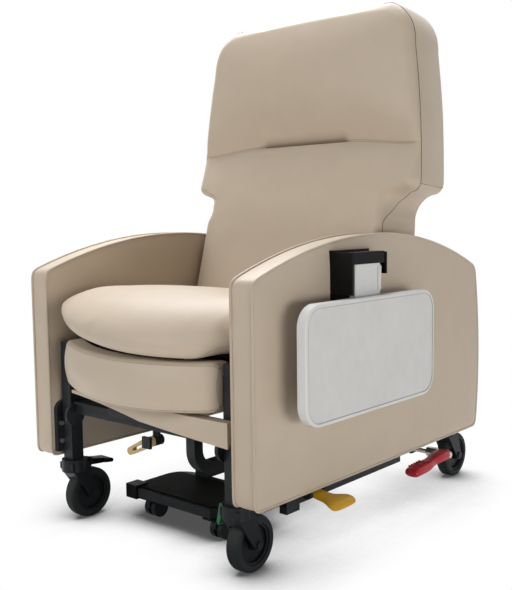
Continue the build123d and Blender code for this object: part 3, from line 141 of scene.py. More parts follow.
def build_wear():
    """Wear and dust: a mask of exposed edges broken by noise, and one of dust on upward faces."""
    group, enter, leave = new_group(
        "wear and dust",
        (("Wear", 0.5), ("Dust", 0.3), ("Patch size", 30.0)),
        (("Worn", "NodeSocketFloat"), ("Dusty", "NodeSocketFloat")),
    )
    shape = put(group, "ShaderNodeNewGeometry")
    where = put(group, "ShaderNodeTexCoord").outputs["Object"]
    patches = put(group, "ShaderNodeTexNoise")
    patches.inputs["Detail"].default_value = 8.0
    group.links.new(where, patches.inputs["Vector"])
    group.links.new(enter.outputs["Patch size"], patches.inputs["Scale"])
    edges = put(group, "ShaderNodeMapRange")
    edges.inputs["From Min"].default_value = 0.52
    edges.inputs["From Max"].default_value = 0.62
    group.links.new(shape.outputs["Pointiness"], edges.inputs["Value"])
    broken = math_node(group, "MULTIPLY", edges.outputs["Result"], patches.outputs["Fac"])
    worn = math_node(group, "MULTIPLY", broken, enter.outputs["Wear"])
    group.links.new(worn, leave.inputs["Worn"])
    split = put(group, "ShaderNodeSeparateXYZ")
    group.links.new(shape.outputs["Normal"], split.inputs["Vector"])
    upward = math_node(group, "MAXIMUM", split.outputs["Z"], 0.0)
    settled = math_node(group, "MULTIPLY", upward, patches.outputs["Fac"])
    dusty = math_node(group, "MULTIPLY", settled, enter.outputs["Dust"])
    group.links.new(dusty, leave.inputs["Dusty"])
    return group


def build_speckle():
    """Moulded or powder-coated skin: a fine orange peel as a height, and a cloudy tone."""
    group, enter, leave = new_group(
        "moulded skin",
        (("Peel per metre", 700.0), ("Cloud size", 9.0)),
        (("Height", "NodeSocketFloat"), ("Tone", "NodeSocketFloat")),
    )
    where = put(group, "ShaderNodeTexCoord").outputs["Object"]
    peel = put(group, "ShaderNodeTexNoise")
    peel.inputs["Detail"].default_value = 2.0
    cloud = put(group, "ShaderNodeTexNoise")
    cloud.inputs["Detail"].default_value = 4.0
    for node, socket in ((peel, "Peel per metre"), (cloud, "Cloud size")):
        group.links.new(where, node.inputs["Vector"])
        group.links.new(enter.outputs[socket], node.inputs["Scale"])
    group.links.new(peel.outputs["Fac"], leave.inputs["Height"])
    group.links.new(cloud.outputs["Fac"], leave.inputs["Tone"])
    return group


GRAIN = build_grain()
WEAR = build_wear()
SKIN = build_speckle()


def use_group(tree, group, **values):
    """The group placed in a material, its inputs set by name with _ for a space."""
    node = put(tree, "ShaderNodeGroup", node_tree=group)
    for name, value in values.items():
        node.inputs[name.replace("_", " ")].default_value = value
    return node


def new_material(name, roughness, metallic=0.0):
    """A material with its Principled shader, and the tree they stand in."""
    material = bpy.data.materials.new(name)
    material.use_nodes = True
    shader = material.node_tree.nodes["Principled BSDF"]
    shader.inputs["Roughness"].default_value = roughness
    shader.inputs["Metallic"].default_value = metallic
    return material, material.node_tree, shader


def tone_ramp(tree, mask, low, high, start=0.3, end=0.7):
    """A colour between low and high as the mask goes from start to end."""
    ramp = put(tree, "ShaderNodeValToRGB")
    ramp.color_ramp.elements[0].position = start
    ramp.color_ramp.elements[1].position = end
    ramp.color_ramp.elements[0].color = (*low, 1.0)
    ramp.color_ramp.elements[1].color = (*high, 1.0)
    tree.links.new(mask, ramp.inputs["Fac"])
    return ramp.outputs["Color"]


def mix_color(tree, factor, base, layer):
    """A colour that goes from base to a plain layer colour by a factor."""
    mix = put(tree, "ShaderNodeMix", data_type="RGBA")
    tree.links.new(factor, mix.inputs["Factor"])
    tree.links.new(base, mix.inputs["A"])
    mix.inputs["B"].default_value = (*layer, 1.0)
    return mix.outputs["Result"]


def bump(tree, shader, height, strength, distance):
    """A Bump node between a height and the shader."""
    node = put(tree, "ShaderNodeBump")
    node.inputs["Strength"].default_value = strength
    node.inputs["Distance"].default_value = distance
    tree.links.new(height, node.inputs["Height"])
    tree.links.new(node.outputs["Normal"], shader.inputs["Normal"])


def vinyl(name, tone, roughness=0.42):
    """Grained upholstery vinyl: soft sheen, slow colour swell and a little dust."""
    material, tree, shader = new_material(name, roughness)
    grain = use_group(tree, GRAIN, Pebbles_per_metre=1100.0, Pebble_height=0.35, Swell=0.6)
    wear = use_group(tree, WEAR, Wear=0.25, Dust=0.12, Patch_size=18.0)
    low = [share * 0.955 for share in tone]
    color = tone_ramp(tree, grain.outputs["Shade"], low, tone)
    color = mix_color(tree, wear.outputs["Worn"], color, [share * 1.12 for share in tone])
    color = mix_color(tree, wear.outputs["Dusty"], color, (0.72, 0.69, 0.64))
    tree.links.new(color, shader.inputs["Base Color"])
    shader.inputs["Sheen Weight"].default_value = 0.08
    shader.inputs["Specular IOR Level"].default_value = 0.22
    bump(tree, shader, grain.outputs["Height"], 0.22, 0.0006)
    return material


def moulded(name, tone, roughness=0.5, peel=700.0, wear_share=0.3, dust=0.2, strength=0.15, gloss=0.3):
    """Moulded plastic: fine peel, cloudy tone, pale rubbed edges."""
    material, tree, shader = new_material(name, roughness)
    shader.inputs["Specular IOR Level"].default_value = gloss
    skin = use_group(tree, SKIN, Peel_per_metre=peel, Cloud_size=11.0)
    wear = use_group(tree, WEAR, Wear=wear_share, Dust=dust, Patch_size=45.0)
    color = tone_ramp(tree, skin.outputs["Tone"], [share * 0.94 for share in tone], tone)
    pale = [min(1.0, share * 1.35 + 0.03) for share in tone]
    color = mix_color(tree, wear.outputs["Worn"], color, pale)
    color = mix_color(tree, wear.outputs["Dusty"], color, (0.42, 0.41, 0.39))
    tree.links.new(color, shader.inputs["Base Color"])
    bump(tree, shader, skin.outputs["Height"], strength, 0.0004)
    return material


def painted(name, tone, roughness=0.36):
    """Powder-coated steel: orange peel under a clear gloss, rubbed edges."""
    material = moulded(
        name, tone, roughness, peel=420.0, wear_share=0.5, dust=0.05, strength=0.22, gloss=0.14,
    )
    shader = material.node_tree.nodes["Principled BSDF"]
    shader.inputs["Coat Weight"].default_value = 0.06
    shader.inputs["Coat Roughness"].default_value = 0.25
    return material


def plated(name, tone, roughness=0.28):
    """Zinc-plated or brushed steel: drawn streaks in colour and roughness."""
    material, tree, shader = new_material(name, roughness, metallic=1.0)
    where = put(tree, "ShaderNodeTexCoord").outputs["Object"]
    stretch = put(tree, "ShaderNodeMapping")
    stretch.inputs["Scale"].default_value = (40.0, 600.0, 600.0)
    tree.links.new(where, stretch.inputs["Vector"])
    streaks = put(tree, "ShaderNodeTexNoise")
    streaks.inputs["Scale"].default_value = 1.0
    streaks.inputs["Detail"].default_value = 6.0
    tree.links.new(stretch.outputs["Vector"], streaks.inputs["Vector"])
    low = [share * 0.7 for share in tone]
    tree.links.new(tone_ramp(tree, streaks.outputs["Fac"], low, tone), shader.inputs["Base Color"])
    rough = put(tree, "ShaderNodeMapRange")
    rough.inputs["To Min"].default_value = roughness * 0.7
    rough.inputs["To Max"].default_value = roughness * 1.5
    tree.links.new(streaks.outputs["Fac"], rough.inputs["Value"])
    tree.links.new(rough.outputs["Result"], shader.inputs["Roughness"])
    bump(tree, shader, streaks.outputs["Fac"], 0.08, 0.0003)
    return material


def ribbed_rubber(name, tone):
    """Black rubber mat with fine ribs along its width."""
    material, tree, shader = new_material(name, 0.62)
    shader.inputs["Specular IOR Level"].default_value = 0.06
    skin = use_group(tree, SKIN, Peel_per_metre=900.0, Cloud_size=14.0)
    wear = use_group(tree, WEAR, Wear=0.3, Dust=0.06, Patch_size=20.0)
    color = tone_ramp(tree, skin.outputs["Tone"], tone, [share * 1.8 for share in tone])
    color = mix_color(tree, wear.outputs["Dusty"], color, (0.16, 0.155, 0.15))
    tree.links.new(color, shader.inputs["Base Color"])
    ribs = put(tree, "ShaderNodeTexWave", bands_direction="Y", wave_profile="SIN")
    ribs.inputs["Scale"].default_value = 32.0
    ribs.inputs["Distortion"].default_value = 0.0
    tree.links.new(put(tree, "ShaderNodeTexCoord").outputs["Object"], ribs.inputs["Vector"])
    bump(tree, shader, ribs.outputs["Fac"], 0.6, 0.0012)
    return material


def plywood(name, tone):
    """Raw plywood with grain along the sheet."""
    material, tree, shader = new_material(name, 0.7)
    where = put(tree, "ShaderNodeTexCoord").outputs["Object"]
    stretch = put(tree, "ShaderNodeMapping")
    stretch.inputs["Scale"].default_value = (30.0, 2.0, 30.0)
    tree.links.new(where, stretch.inputs["Vector"])
    rings = put(tree, "ShaderNodeTexNoise")
    rings.inputs["Scale"].default_value = 3.0
    rings.inputs["Detail"].default_value = 7.0
    rings.inputs["Distortion"].default_value = 0.6
    tree.links.new(stretch.outputs["Vector"], rings.inputs["Vector"])
    low = [share * 0.6 for share in tone]
    tree.links.new(tone_ramp(tree, rings.outputs["Fac"], low, tone), shader.inputs["Base Color"])
    bump(tree, shader, rings.outputs["Fac"], 0.2, 0.0006)
    return material


BEIGE = (0.520, 0.430, 0.330)
FINISHES = {
    "upholstery": vinyl("beige vinyl", BEIGE),
    "piping": vinyl("beige vinyl piping", [share * 0.93 for share in BEIGE], 0.38),
    # seam: near-black tubes on real seams, painted shadow in the seam lines
    "seam": vinyl("seam thread dark as painted shadow", [share * 0.22 for share in BEIGE], 0.6),
    "stitch": vinyl("stitch thread", [share * 0.58 for share in BEIGE], 0.6),
    "skirt": vinyl("beige vinyl skirt", [share * 0.97 for share in BEIGE], 0.45),
    "frame_paint": painted("slate powder coat", (0.0075, 0.0105, 0.0120)),
    "black_plastic": moulded(
        "black plastic", (0.0012, 0.0013, 0.0014), 0.40, dust=0.0, strength=0.08, gloss=0.1,
    ),
    "caster_plastic": moulded(
        "dark caster plastic", (0.0095, 0.0120, 0.0130), 0.40, dust=0.02, gloss=0.16,
    ),
    "grey_plastic": moulded("pale grey plastic", (0.660, 0.655, 0.640), 0.48, dust=0.0, strength=0.08),
    "tray_face": moulded("tray face", (0.600, 0.592, 0.577), 0.55, dust=0.0, strength=0.12),
    "tray_groove": moulded("tray groove", (0.300, 0.300, 0.290), 0.6, dust=0.0),
    "tyre": moulded("tyre rubber", (0.014, 0.017, 0.018), 0.60, peel=1000.0, dust=0.08, gloss=0.15),
    "mat": ribbed_rubber("ribbed mat", (0.0012, 0.0012, 0.0013)),
    "zinc": plated("zinc plate", (0.62, 0.62, 0.60)),
    "yellow": moulded("yellow plastic", (0.560, 0.300, 0.003), 0.36, dust=0.0),
    "red": moulded("red plastic", (0.470, 0.022, 0.034), 0.34, dust=0.0),
    "green": moulded("green plastic", (0.006, 0.140, 0.045), 0.36, dust=0.05),
    "tan": moulded("tan plastic", (0.520, 0.360, 0.160), 0.40),
    "plywood": plywood("plywood", (0.520, 0.380, 0.230)),
    # Black boards: painted shade in the gaps under the seat and the leg pad
    "gap_shade_board": plywood("black board as painted gap shade", (0.012, 0.012, 0.012)),
}

NODE_FINISHES = {
    "frame_paint": (
        "front_frame", "rear_frame", "side_rails", "keel_tube", "seat_frame", "arm_brackets",
        "side_channel", "back_frame", "leg_carriage", "leg_guides", "platform_guides",
        "platform_rails", "lever_hub", "foot_platform",
    ),
    "plywood": ("arm_boards",),
    # The boards are black as painted shade in the gaps around them
    "gap_shade_board": ("seat_board", "leg_board"),
    "black_plastic": (
        "tray_bracket", "tray_hinge", "platform_clips", "front_right_brake_pedal",
        "rear_left_brake_pedal", "rear_right_brake_pedal",
    ),
    "grey_plastic": ("tray_top", "tray_neck", "tray_latch"),
    "tray_face": ("tray_face",),
    "mat": ("platform_mat",),
    "zinc": ("frame_bolts", "gas_cylinder", "gas_rod", "brake_shaft"),
    "yellow": ("yellow_pedal",),
    "red": ("red_pedal",),
    "green": ("steer_pedal",),
    "tan": ("tan_lever",),
    "skirt": ("front_skirt",),
}


def finish_node(node, finish):
    """Give a CAD node's object one of the finishes."""
    target = nodes[node]
    target.data.materials.clear()
    target.data.materials.append(FINISHES[finish])


for finish, names in NODE_FINISHES.items():
    for node in names:
        finish_node(node, finish)
for node in nodes:
    if node.endswith(("_fork", "_wheel", "_hood", "_wheels")):
        finish_node(node, "caster_plastic")
    if node.endswith("_tyre"):
        finish_node(node, "tyre")


# Mesh helpers
def new_piece(name, points, faces, finish, body):
    """A mesh object from points in metres, with a finish, riding on a body."""
    mesh = bpy.data.meshes.new(name)
    mesh.from_pydata([tuple(point) for point in points], [], faces)
    mesh.validate()
    piece = bpy.data.objects.new(name, mesh)
    bpy.context.scene.collection.objects.link(piece)
    mesh.materials.append(FINISHES[finish])
    mesh.polygons.foreach_set("use_smooth", [True] * len(mesh.polygons))
    outward(piece)
    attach(piece, body)
    return piece


def outward(piece):
    """Turn every face of a piece outwards."""
    shape = bmesh.new()
    shape.from_mesh(piece.data)
    bmesh.ops.recalc_face_normals(shape, faces=shape.faces)
    shape.to_mesh(piece.data)
    shape.free()


def strip_faces(first, second, closed=True):
    """Quads between two rows of point numbers."""
    count = len(first)
    last = count if closed else count - 1
    return [
        (first[i], first[(i + 1) % count], second[(i + 1) % count], second[i])
        for i in range(last)
    ]


def arc(start, middle, end, count):
    """Points on the arc through three plane points, the end left out."""
    ax, ay = start
    bx, by = middle
    cx, cy = end
    area = 2 * (ax * (by - cy) + bx * (cy - ay) + cx * (ay - by))
    a2, b2, c2 = ax**2 + ay**2, bx**2 + by**2, cx**2 + cy**2
    ux = (a2 * (by - cy) + b2 * (cy - ay) + c2 * (ay - by)) / area
    uy = (a2 * (cx - bx) + b2 * (ax - cx) + c2 * (bx - ax)) / area
    radius = math.hypot(ax - ux, ay - uy)
    first = math.atan2(ay - uy, ax - ux)
    full = 2 * math.pi
    to_mid = (math.atan2(by - uy, bx - ux) - first) % full
    to_end = (math.atan2(cy - uy, cx - ux) - first) % full
    if to_mid > to_end:
        to_end -= full
    return [
        (ux + radius * math.cos(first + to_end * i / count),
         uy + radius * math.sin(first + to_end * i / count))
        for i in range(count)
    ]


def line(start, end, count):
    """Points on a straight line, the end left out."""
    return [
        (start[0] + (end[0] - start[0]) * i / count, start[1] + (end[1] - start[1]) * i / count)
        for i in range(count)
    ]


def even_loop(points, count):
    """A closed outline taken again at even steps."""
    ring = np.array(points + [points[0]])
    steps = np.hypot(*np.diff(ring, axis=0).T)
    along = np.concatenate(([0.0], np.cumsum(steps)))
    wanted = np.linspace(0, along[-1], count, endpoint=False)
    return np.column_stack([np.interp(wanted, along, ring[:, k]) for k in (0, 1)])


def round_outline(points, radius, passes=60):
    """A closed even outline with its corners eased by repeated averaging, up to about a radius."""
    ring = points.copy()
    step = np.hypot(*(ring[1] - ring[0]))
    rounds = max(1, int((radius / step) ** 2 * passes / 60))
    for _ in range(rounds):
        ring = (np.roll(ring, 1, axis=0) + ring * 2 + np.roll(ring, -1, axis=0)) / 4
    return ring


def outward_normals(ring):
    """Unit normals of a closed plane outline, pointing out of it."""
    along = np.roll(ring, -1, axis=0) - np.roll(ring, 1, axis=0)
    along /= np.linalg.norm(along, axis=1)[:, None]
    normals = np.column_stack((along[:, 1], -along[:, 0]))
    middle = ring.mean(axis=0)
    if ((ring - middle) * normals).sum() < 0:
        normals = -normals
    return normals


def swell_noise(x, y, z, size, seed=0.0):
    """Smooth noise between -1 and 1 over a length of size millimetres."""
    return noise.noise(Vector((x / size + seed, y / size, z / size)))


# Stuffing by cloth simulation
CLOTH_FRAMES = 20
CLOTH_PRESSURE = 4.0
CLOTH_QUALITY = 4
CLOTH_MASS = 0.35
CLOTH_TENSION = 18
CLOTH_SHEAR = 8
CLOTH_BENDING = 1.2


def stuff(piece, pins, cap):
    """Swell a piece by a pressurised cloth run. pins holds 0 to 1 for each point, cap is in mm."""
    scene = bpy.context.scene
    group = piece.vertex_groups.new(name="pins")
    for number, hold in enumerate(pins):
        if hold > 0:
            group.add([number], float(hold), "REPLACE")
    cloth = piece.modifiers.new("stuffing", "CLOTH")
    settings = cloth.settings
    settings.quality = CLOTH_QUALITY
    settings.mass = CLOTH_MASS
    settings.tension_stiffness = CLOTH_TENSION
    settings.compression_stiffness = CLOTH_TENSION
    settings.shear_stiffness = CLOTH_SHEAR
    settings.bending_stiffness = CLOTH_BENDING
    settings.use_pressure = True
    settings.uniform_pressure_force = CLOTH_PRESSURE
    settings.effector_weights.gravity = 0
    settings.vertex_group_mass = "pins"
    cloth.point_cache.frame_start = 1
    cloth.point_cache.frame_end = CLOTH_FRAMES
    start = np.array([point.co for point in piece.data.vertices])
    for moment in range(1, CLOTH_FRAMES + 1):
        scene.frame_set(moment)
    settled = piece.evaluated_get(bpy.context.evaluated_depsgraph_get()).data
    moved = np.array([point.co for point in settled.vertices]) - start
    piece.modifiers.remove(cloth)
    scene.frame_set(1)
    length = np.linalg.norm(moved, axis=1)
    limit = cap * MM
    share = limit * np.tanh(length / limit) / np.maximum(length, 1e-9)
    piece.data.vertices.foreach_set("co", (start + moved * share[:, None]).ravel())
    piece.vertex_groups.clear()
    piece.data.update()


def round_off(piece):
    """Apply one subdivision to a piece."""
    bpy.context.view_layer.objects.active = piece
    finer = piece.modifiers.new("finer", "SUBSURF")
    finer.levels = 1
    dressed = piece.evaluated_get(bpy.context.evaluated_depsgraph_get())
    mesh = bpy.data.meshes.new_from_object(dressed)
    piece.modifiers.clear()
    mesh.name = piece.name
    piece.data = mesh


def tube_along(points, across, over, radius, sides=8):
    """Points and faces of a closed tube round a loop, with two cross directions at each point."""
    shell = []
    rows = []
    for point, one, two in zip(points, across, over):
        row = []
        for k in range(sides):
            angle = 2 * math.pi * k / sides
            row.append(len(shell))
            shell.append(point + (one * math.cos(angle) + two * math.sin(angle)) * radius)
        rows.append(row)
    faces = []
    for i in range(len(rows)):
        faces += strip_faces(rows[i], rows[(i + 1) % len(rows)])
    return shell, faces


# Arms
ARM_INNER = 307.0
ARM_OUTER = 366.0
ARM_FOOT = 168.0
ARM_FRONT = -333.0
ARM_FRONT_TOP = 627.0
ARM_PEAK = (120.0, 711.0)
ARM_REAR_TOP = (590.0, 612.0)
ARM_REAR_BULGE = (614.0, 320.0)
ARM_REAR_FOOT = (601.0, 168.0)
ARM_CORNER = 17.0
ARM_STEPS = 420
ARM_RINGS = (0, 0.006, 0.013, 0.022, 0.035, 0.055, 0.085, 0.13, 0.19, 0.27, 0.37, 0.5, 0.64, 0.8, 0.94)
ARM_SPINE = (-90.0, 380.0)
ARM_SPINE_HIGH = 430.0
ARM_CROWN = 4.5
ARM_WELT = 3.4


def arm_outline():
    """The arm's side view as an even closed outline of (y, z) points."""
    foot = (ARM_FRONT, ARM_FOOT)
    top = (ARM_FRONT, ARM_FRONT_TOP)
    points = line(foot, top, 60)
    points += arc(top, ARM_PEAK, ARM_REAR_TOP, 120)
    points += arc(ARM_REAR_TOP, ARM_REAR_BULGE, ARM_REAR_FOOT, 60)
    points += line(ARM_REAR_FOOT, foot, 100)
    return round_outline(even_loop(points, ARM_STEPS), ARM_CORNER)


def arm_faces_at(x_edge, out, ring, shell, seed):
    """Rings of one crowned arm face, from the welt inwards."""
    rows = []
    for share in ARM_RINGS[1:]:
        row = []
        for y, z in ring:
            spine_y = min(max(y, ARM_SPINE[0]), ARM_SPINE[1])
            py = y + (spine_y - y) * share
            pz = z + (ARM_SPINE_HIGH - z) * share
            depth = math.hypot(py - y, pz - z)
            crown = ARM_CROWN * (1 - math.exp(-depth / 26)) - 1.5 * math.exp(-depth / 3)
            ripple = 1.1 * swell_noise(seed, py, pz, 120) * (1 - math.exp(-depth / 40))
            row.append(len(shell))
            shell.append(at(x_edge + out * (crown + ripple), py, pz))
        rows.append(row)
    return rows


def make_arm(side, name):
    """One upholstered arm: two crowned faces, a bulging edge band, and a welt round each face."""
    ring = arm_outline()
    normals = outward_normals(ring)
    inner = side * ARM_INNER
    outer = side * ARM_OUTER
    shell = []
    band = []
    for share in (0, 0.06, 0.2, 0.35, 0.5, 0.65, 0.8, 0.94, 1):
        row = []
        bulge = 3.0 * math.sin(math.pi * share) ** 0.5 - 1.5
        for (y, z), (ny, nz) in zip(ring, normals):
            row.append(len(shell))
            out = bulge + 0.5 * swell_noise(side * 9, y, z, 60)
            shell.append(at(inner + (outer - inner) * share, y + ny * out, z + nz * out))
        band.append(row)
    faces = []
    for first, second in zip(band, band[1:]):
        faces += strip_faces(first, second)
    for edge_row, x_edge, out in ((band[0], inner, -side), (band[-1], outer, side)):
        rows = [edge_row] + arm_faces_at(x_edge, out, ring, shell, side * 5 + out)
        for first, second in zip(rows, rows[1:]):
            faces += strip_faces(first, second)
        last = rows[-1]
        half = len(last) // 2
        faces += [
            (last[i], last[i + 1], last[len(last) - 2 - i], last[len(last) - 1 - i])
            for i in range(half - 1)
        ]
    arm = new_piece(name, shell, faces, "upholstery", "chair")
    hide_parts(name.replace("_upholstery", ""))
    for x_edge, out, place in ((inner, -side, "inner"), (outer, side, "outer")):
        middle = [
            at(x_edge - out * 1.2, y + ny * 0.2, z + nz * 0.2)
            for (y, z), (ny, nz) in zip(ring, normals)
        ]
        across = [Vector((0, ny, nz)) for ny, nz in normals]
        over = [Vector((out, 0, 0))] * len(middle)
        tube, tube_faces = tube_along(middle, across, over, ARM_WELT * MM)
        welt = new_piece(f"{name}_{place}_welt", tube, tube_faces, "piping", "chair")


make_arm(1, "left_arm_upholstery")
make_arm(-1, "right_arm_upholstery")

# Back
LEAN = math.radians(4.7)
BACK_FOOT = Vector((0.0, 255.0, 480.0))
BACK_UP = Vector((0.0, math.sin(LEAN), math.cos(LEAN)))
BACK_OUT = Vector((0.0, -math.cos(LEAN), math.sin(LEAN)))
BACK_LOW_HALF = 298.0
WING_START = (298.0, 262.0)
NOTCH_MID = (308.0, 310.0)
NOTCH_END = (342.0, 336.0)
WING_LOW_MID = (364.0, 345.0)
WING_LOW = (372.0, 366.0)
WING_SIDE_MID = (361.0, 530.0)
SHOULDER_LOW = (338.0, 700.0)
SHOULDER_MID = (317.0, 771.0)
SHOULDER_TOP = (268.0, 811.0)
BACK_TOP = 828.0
LUMBAR = 472.0
LUMBAR_DIP = 3.0
LOWER_WEDGE = 118.0
LOWER_BOW = 7.0
UPPER_CROWN = 35.5
CROSS_CROWN = 26.0
CROSS_EDGE = 8.0
CROSS_HALF = 377.0
CROSS_LIFT = 92.0
CROWN_BLEND = 4.0
SEAM_SPREAD = 150.0
TUFT_HALF = 137.0
TUFT_DEEP = 31.0
SEAM_DROP = 16.0
BACK_DEPTHS = ((0, 116), (262, 118), (345, 124), (700, 126), (828, 124))
BACK_COLUMNS = 72
# Rows up the back: from, to and how many, closer where a seam or a corner needs them
BACK_ROWS = (
    (0, 240, 10), (240, 306, 12), (306, 372, 36), (372, 444, 10), (444, 478, 34), (478, 512, 14),
    (512, 740, 22), (740, 811, 24),
)


def back_place(x, v, w):
    """A point x to the side, v up the back and w towards the sitter."""
    place = BACK_FOOT + BACK_UP * v + BACK_OUT * w
    return at(x, place.y, place.z)


def back_edge():
    """Half widths up the back's side, as rows (half width, v)."""
    edge = line((BACK_LOW_HALF, 0), WING_START, 8)
    edge += arc(WING_START, NOTCH_MID, NOTCH_END, 30)
    edge += arc(NOTCH_END, WING_LOW_MID, WING_LOW, 20)
    edge += arc(WING_LOW, WING_SIDE_MID, SHOULDER_LOW, 60)
    edge += arc(SHOULDER_LOW, SHOULDER_MID, SHOULDER_TOP, 40)
    widths, heights = zip(*edge, SHOULDER_TOP)
    rows = np.concatenate([np.linspace(low, high, count, False) for low, high, count in BACK_ROWS])
    rows = np.append(rows, SHOULDER_TOP[1])
    return list(zip(np.interp(rows, heights, widths), rows))


def edge_distance(points, loop):
    """Distance of each plane point to the nearest point of a dense loop."""
    nearest = np.full(len(points), 1e9)
    for part in np.array_split(loop, 12):
        gaps = points[:, None, :] - part[None, :, :]
        nearest = np.minimum(nearest, np.hypot(gaps[..., 0], gaps[..., 1]).min(axis=1))
    return nearest


def back_grid():
    """The back's front view as a grid: for each row and column, x and v."""
    shares = np.sin(np.linspace(-math.pi / 2, math.pi / 2, BACK_COLUMNS + 1) * 0.94)
    shares /= shares[-1]
    rows = []
    for half, v in back_edge():
        top_share = max(0.0, (v - 560.0) / (SHOULDER_TOP[1] - 560.0)) ** 2
        lift = (BACK_TOP - SHOULDER_TOP[1]) * top_share
        rows.append([(share * half, v + lift * (1 - share * share)) for share in shares])
    return np.array(rows)


def eased(value, start, end):
    """A smooth step from 0 to 1 as the value goes from start to end."""
    share = min(max((value - start) / (end - start), 0.0), 1.0)
    return share * share * (3 - 2 * share)


def bell(value, middle, width):
    """A smooth hump of height 1 about a middle."""
    return math.exp(-(((value - middle) / width) ** 2))


def seam_line(x):
    """Height of the lumbar seam, which falls away to both sides of the tuft."""
    return LUMBAR - SEAM_DROP * eased(abs(x), TUFT_HALF + 6.0, 352.0)


def front_face(x, v):
    """How far the cover stands towards the sitter, before its edges roll over."""
    v += (LUMBAR - seam_line(x)) * bell(v, LUMBAR, SEAM_SPREAD)
    if v < LUMBAR:
        share = v / LUMBAR
        along = LOWER_WEDGE - (LOWER_WEDGE + LUMBAR_DIP) * share + 4 * LOWER_BOW * share * (1 - share)
        lift = CROSS_LIFT * (1 - share)
    else:
        share = (v - LUMBAR) / (BACK_TOP - LUMBAR)
        along = 4 * UPPER_CROWN * share * (1 - share) - LUMBAR_DIP
        lift = 0.0
    across = CROSS_EDGE + CROSS_CROWN * (1 - (x / CROSS_HALF) ** 2) + lift
    return -CROWN_BLEND * math.log(math.exp(-along / CROWN_BLEND) + math.exp(-across / CROWN_BLEND))


# The front seam: where it lies, and how wide the cover rolls over to it, at the wings' sides,
# and what the waist, the wing's notch and the top's crest add to both
WAIST_RANGE = (300, 250)
NOTCH_PLACE = (325.0, 16.0)
CREST_RANGE = (790, 812)
CREST_SPREAD = (262, 120)
SEAM_AT, SEAM_WAIST, SEAM_NOTCH, SEAM_CREST = -9.0, 50.0, -18.0, -34.0
ROLL_WIDE, ROLL_WAIST, ROLL_NOTCH, ROLL_CREST = 26.0, -11.0, 14.0, 12.0
ROLL_FOOT_SHARE = 0.3
ROLL_FOOT_RANGE = (0, 60)


def edge_form(x, v):
    """Where the front seam lies, and how wide the front rolls over towards it."""
    waist = eased(v, *WAIST_RANGE)
    notch = bell(v, *NOTCH_PLACE)
    crest = eased(v, *CREST_RANGE) * eased(abs(x), *CREST_SPREAD)
    seam = SEAM_AT + SEAM_WAIST * waist + SEAM_NOTCH * notch + SEAM_CREST * crest
    roll = ROLL_WIDE + ROLL_WAIST * waist + ROLL_NOTCH * notch + ROLL_CREST * crest
    return seam, roll * (ROLL_FOOT_SHARE + (1 - ROLL_FOOT_SHARE) * eased(v, *ROLL_FOOT_RANGE))


# The tuft, in millimetres over its seam: fade above it, lip below it, and the swells beside it
# as (height, middle, width)
TUFT_END = 2.5
TUFT_FADE = 13.0
TUFT_LIP = 1.6
LOWER_SWELL = (3.0, -12.0, 10.0)
UPPER_SWELL = (3.0, 62.0, 30.0)
UPPER_SWELL_ENDS = (TUFT_HALF + 40.0, TUFT_HALF - 30.0)
CHANNEL_DEEP = 1.4
CHANNEL_WIDE = 2.2
PUCKER_DEEP = 0.8
PUCKER_REACH = 34.0
PUCKER_CORE = 10.0
PUCKER_FOLDS = 5
PUCKER_TURN = 0.8
END_DIMPLE = 3.2


def tuft_fold(x, v):
    """How deep the lumbar tuft, its end puckers and the channel seam draw the cover in."""
    inside = 1 / (1 + math.exp((abs(x) - TUFT_HALF) / TUFT_END))
    over = v - seam_line(x)
    fold = math.exp(-over / TUFT_FADE) if over > 0 else bell(over, 0.0, TUFT_LIP)
    drawn = TUFT_DEEP * inside * fold
    drawn -= LOWER_SWELL[0] * inside * bell(over, *LOWER_SWELL[1:])
    drawn -= UPPER_SWELL[0] * eased(abs(x), *UPPER_SWELL_ENDS) * bell(over, *UPPER_SWELL[1:])
    drawn += CHANNEL_DEEP * (1 - inside) * bell(over, 0.0, CHANNEL_WIDE)
    away = math.hypot(abs(x) - TUFT_HALF, over)
    angle = math.atan2(over, abs(x) - TUFT_HALF)
    near = bell(away, 0.0, PUCKER_REACH) * min(away / PUCKER_CORE, 1.0)
    drawn += END_DIMPLE * bell(abs(x), TUFT_HALF + 6.0, 22.0) * bell(over, 8.0, 16.0)
    folds = math.sin(PUCKER_FOLDS * angle + PUCKER_TURN)
    return drawn + PUCKER_DEEP * near * folds * eased(over, -20, 8)


def front_swell(x, v, depth_in):
    """How far the finished front face stands towards the sitter."""
    seam, roll = edge_form(x, v)
    face = front_face(x, v) - tuft_fold(x, v) * eased(depth_in, 4, 30)
    if depth_in < roll:
        face = seam + (face - seam) * math.sqrt(max(0.0, 1 - (1 - depth_in / roll) ** 2))
    creases = swell_noise(x * 0.6, v, 3.0, 34, 5.0) * math.exp(-depth_in / 26) * 0.7
    slow = swell_noise(x, v, 0.0, 150, 2.0) * 1.6 * (1 - math.exp(-depth_in / 50))
    return face + (creases + slow) * eased(depth_in, 0, 12)


def back_depth(v):
    """How far the rear face stands behind the front seam."""
    return -float(np.interp(v, [row[0] for row in BACK_DEPTHS], [row[1] for row in BACK_DEPTHS]))


def grid_border(height, width, base):
    """Point numbers round a grid's border, as a closed loop."""
    bottom = [base + c for c in range(width)]
    side = [base + r * width + width - 1 for r in range(1, height)]
    top = [base + (height - 1) * width + c for c in range(width - 2, -1, -1)]
    back = [base + r * width for r in range(height - 2, 0, -1)]
    return bottom + side + top + back


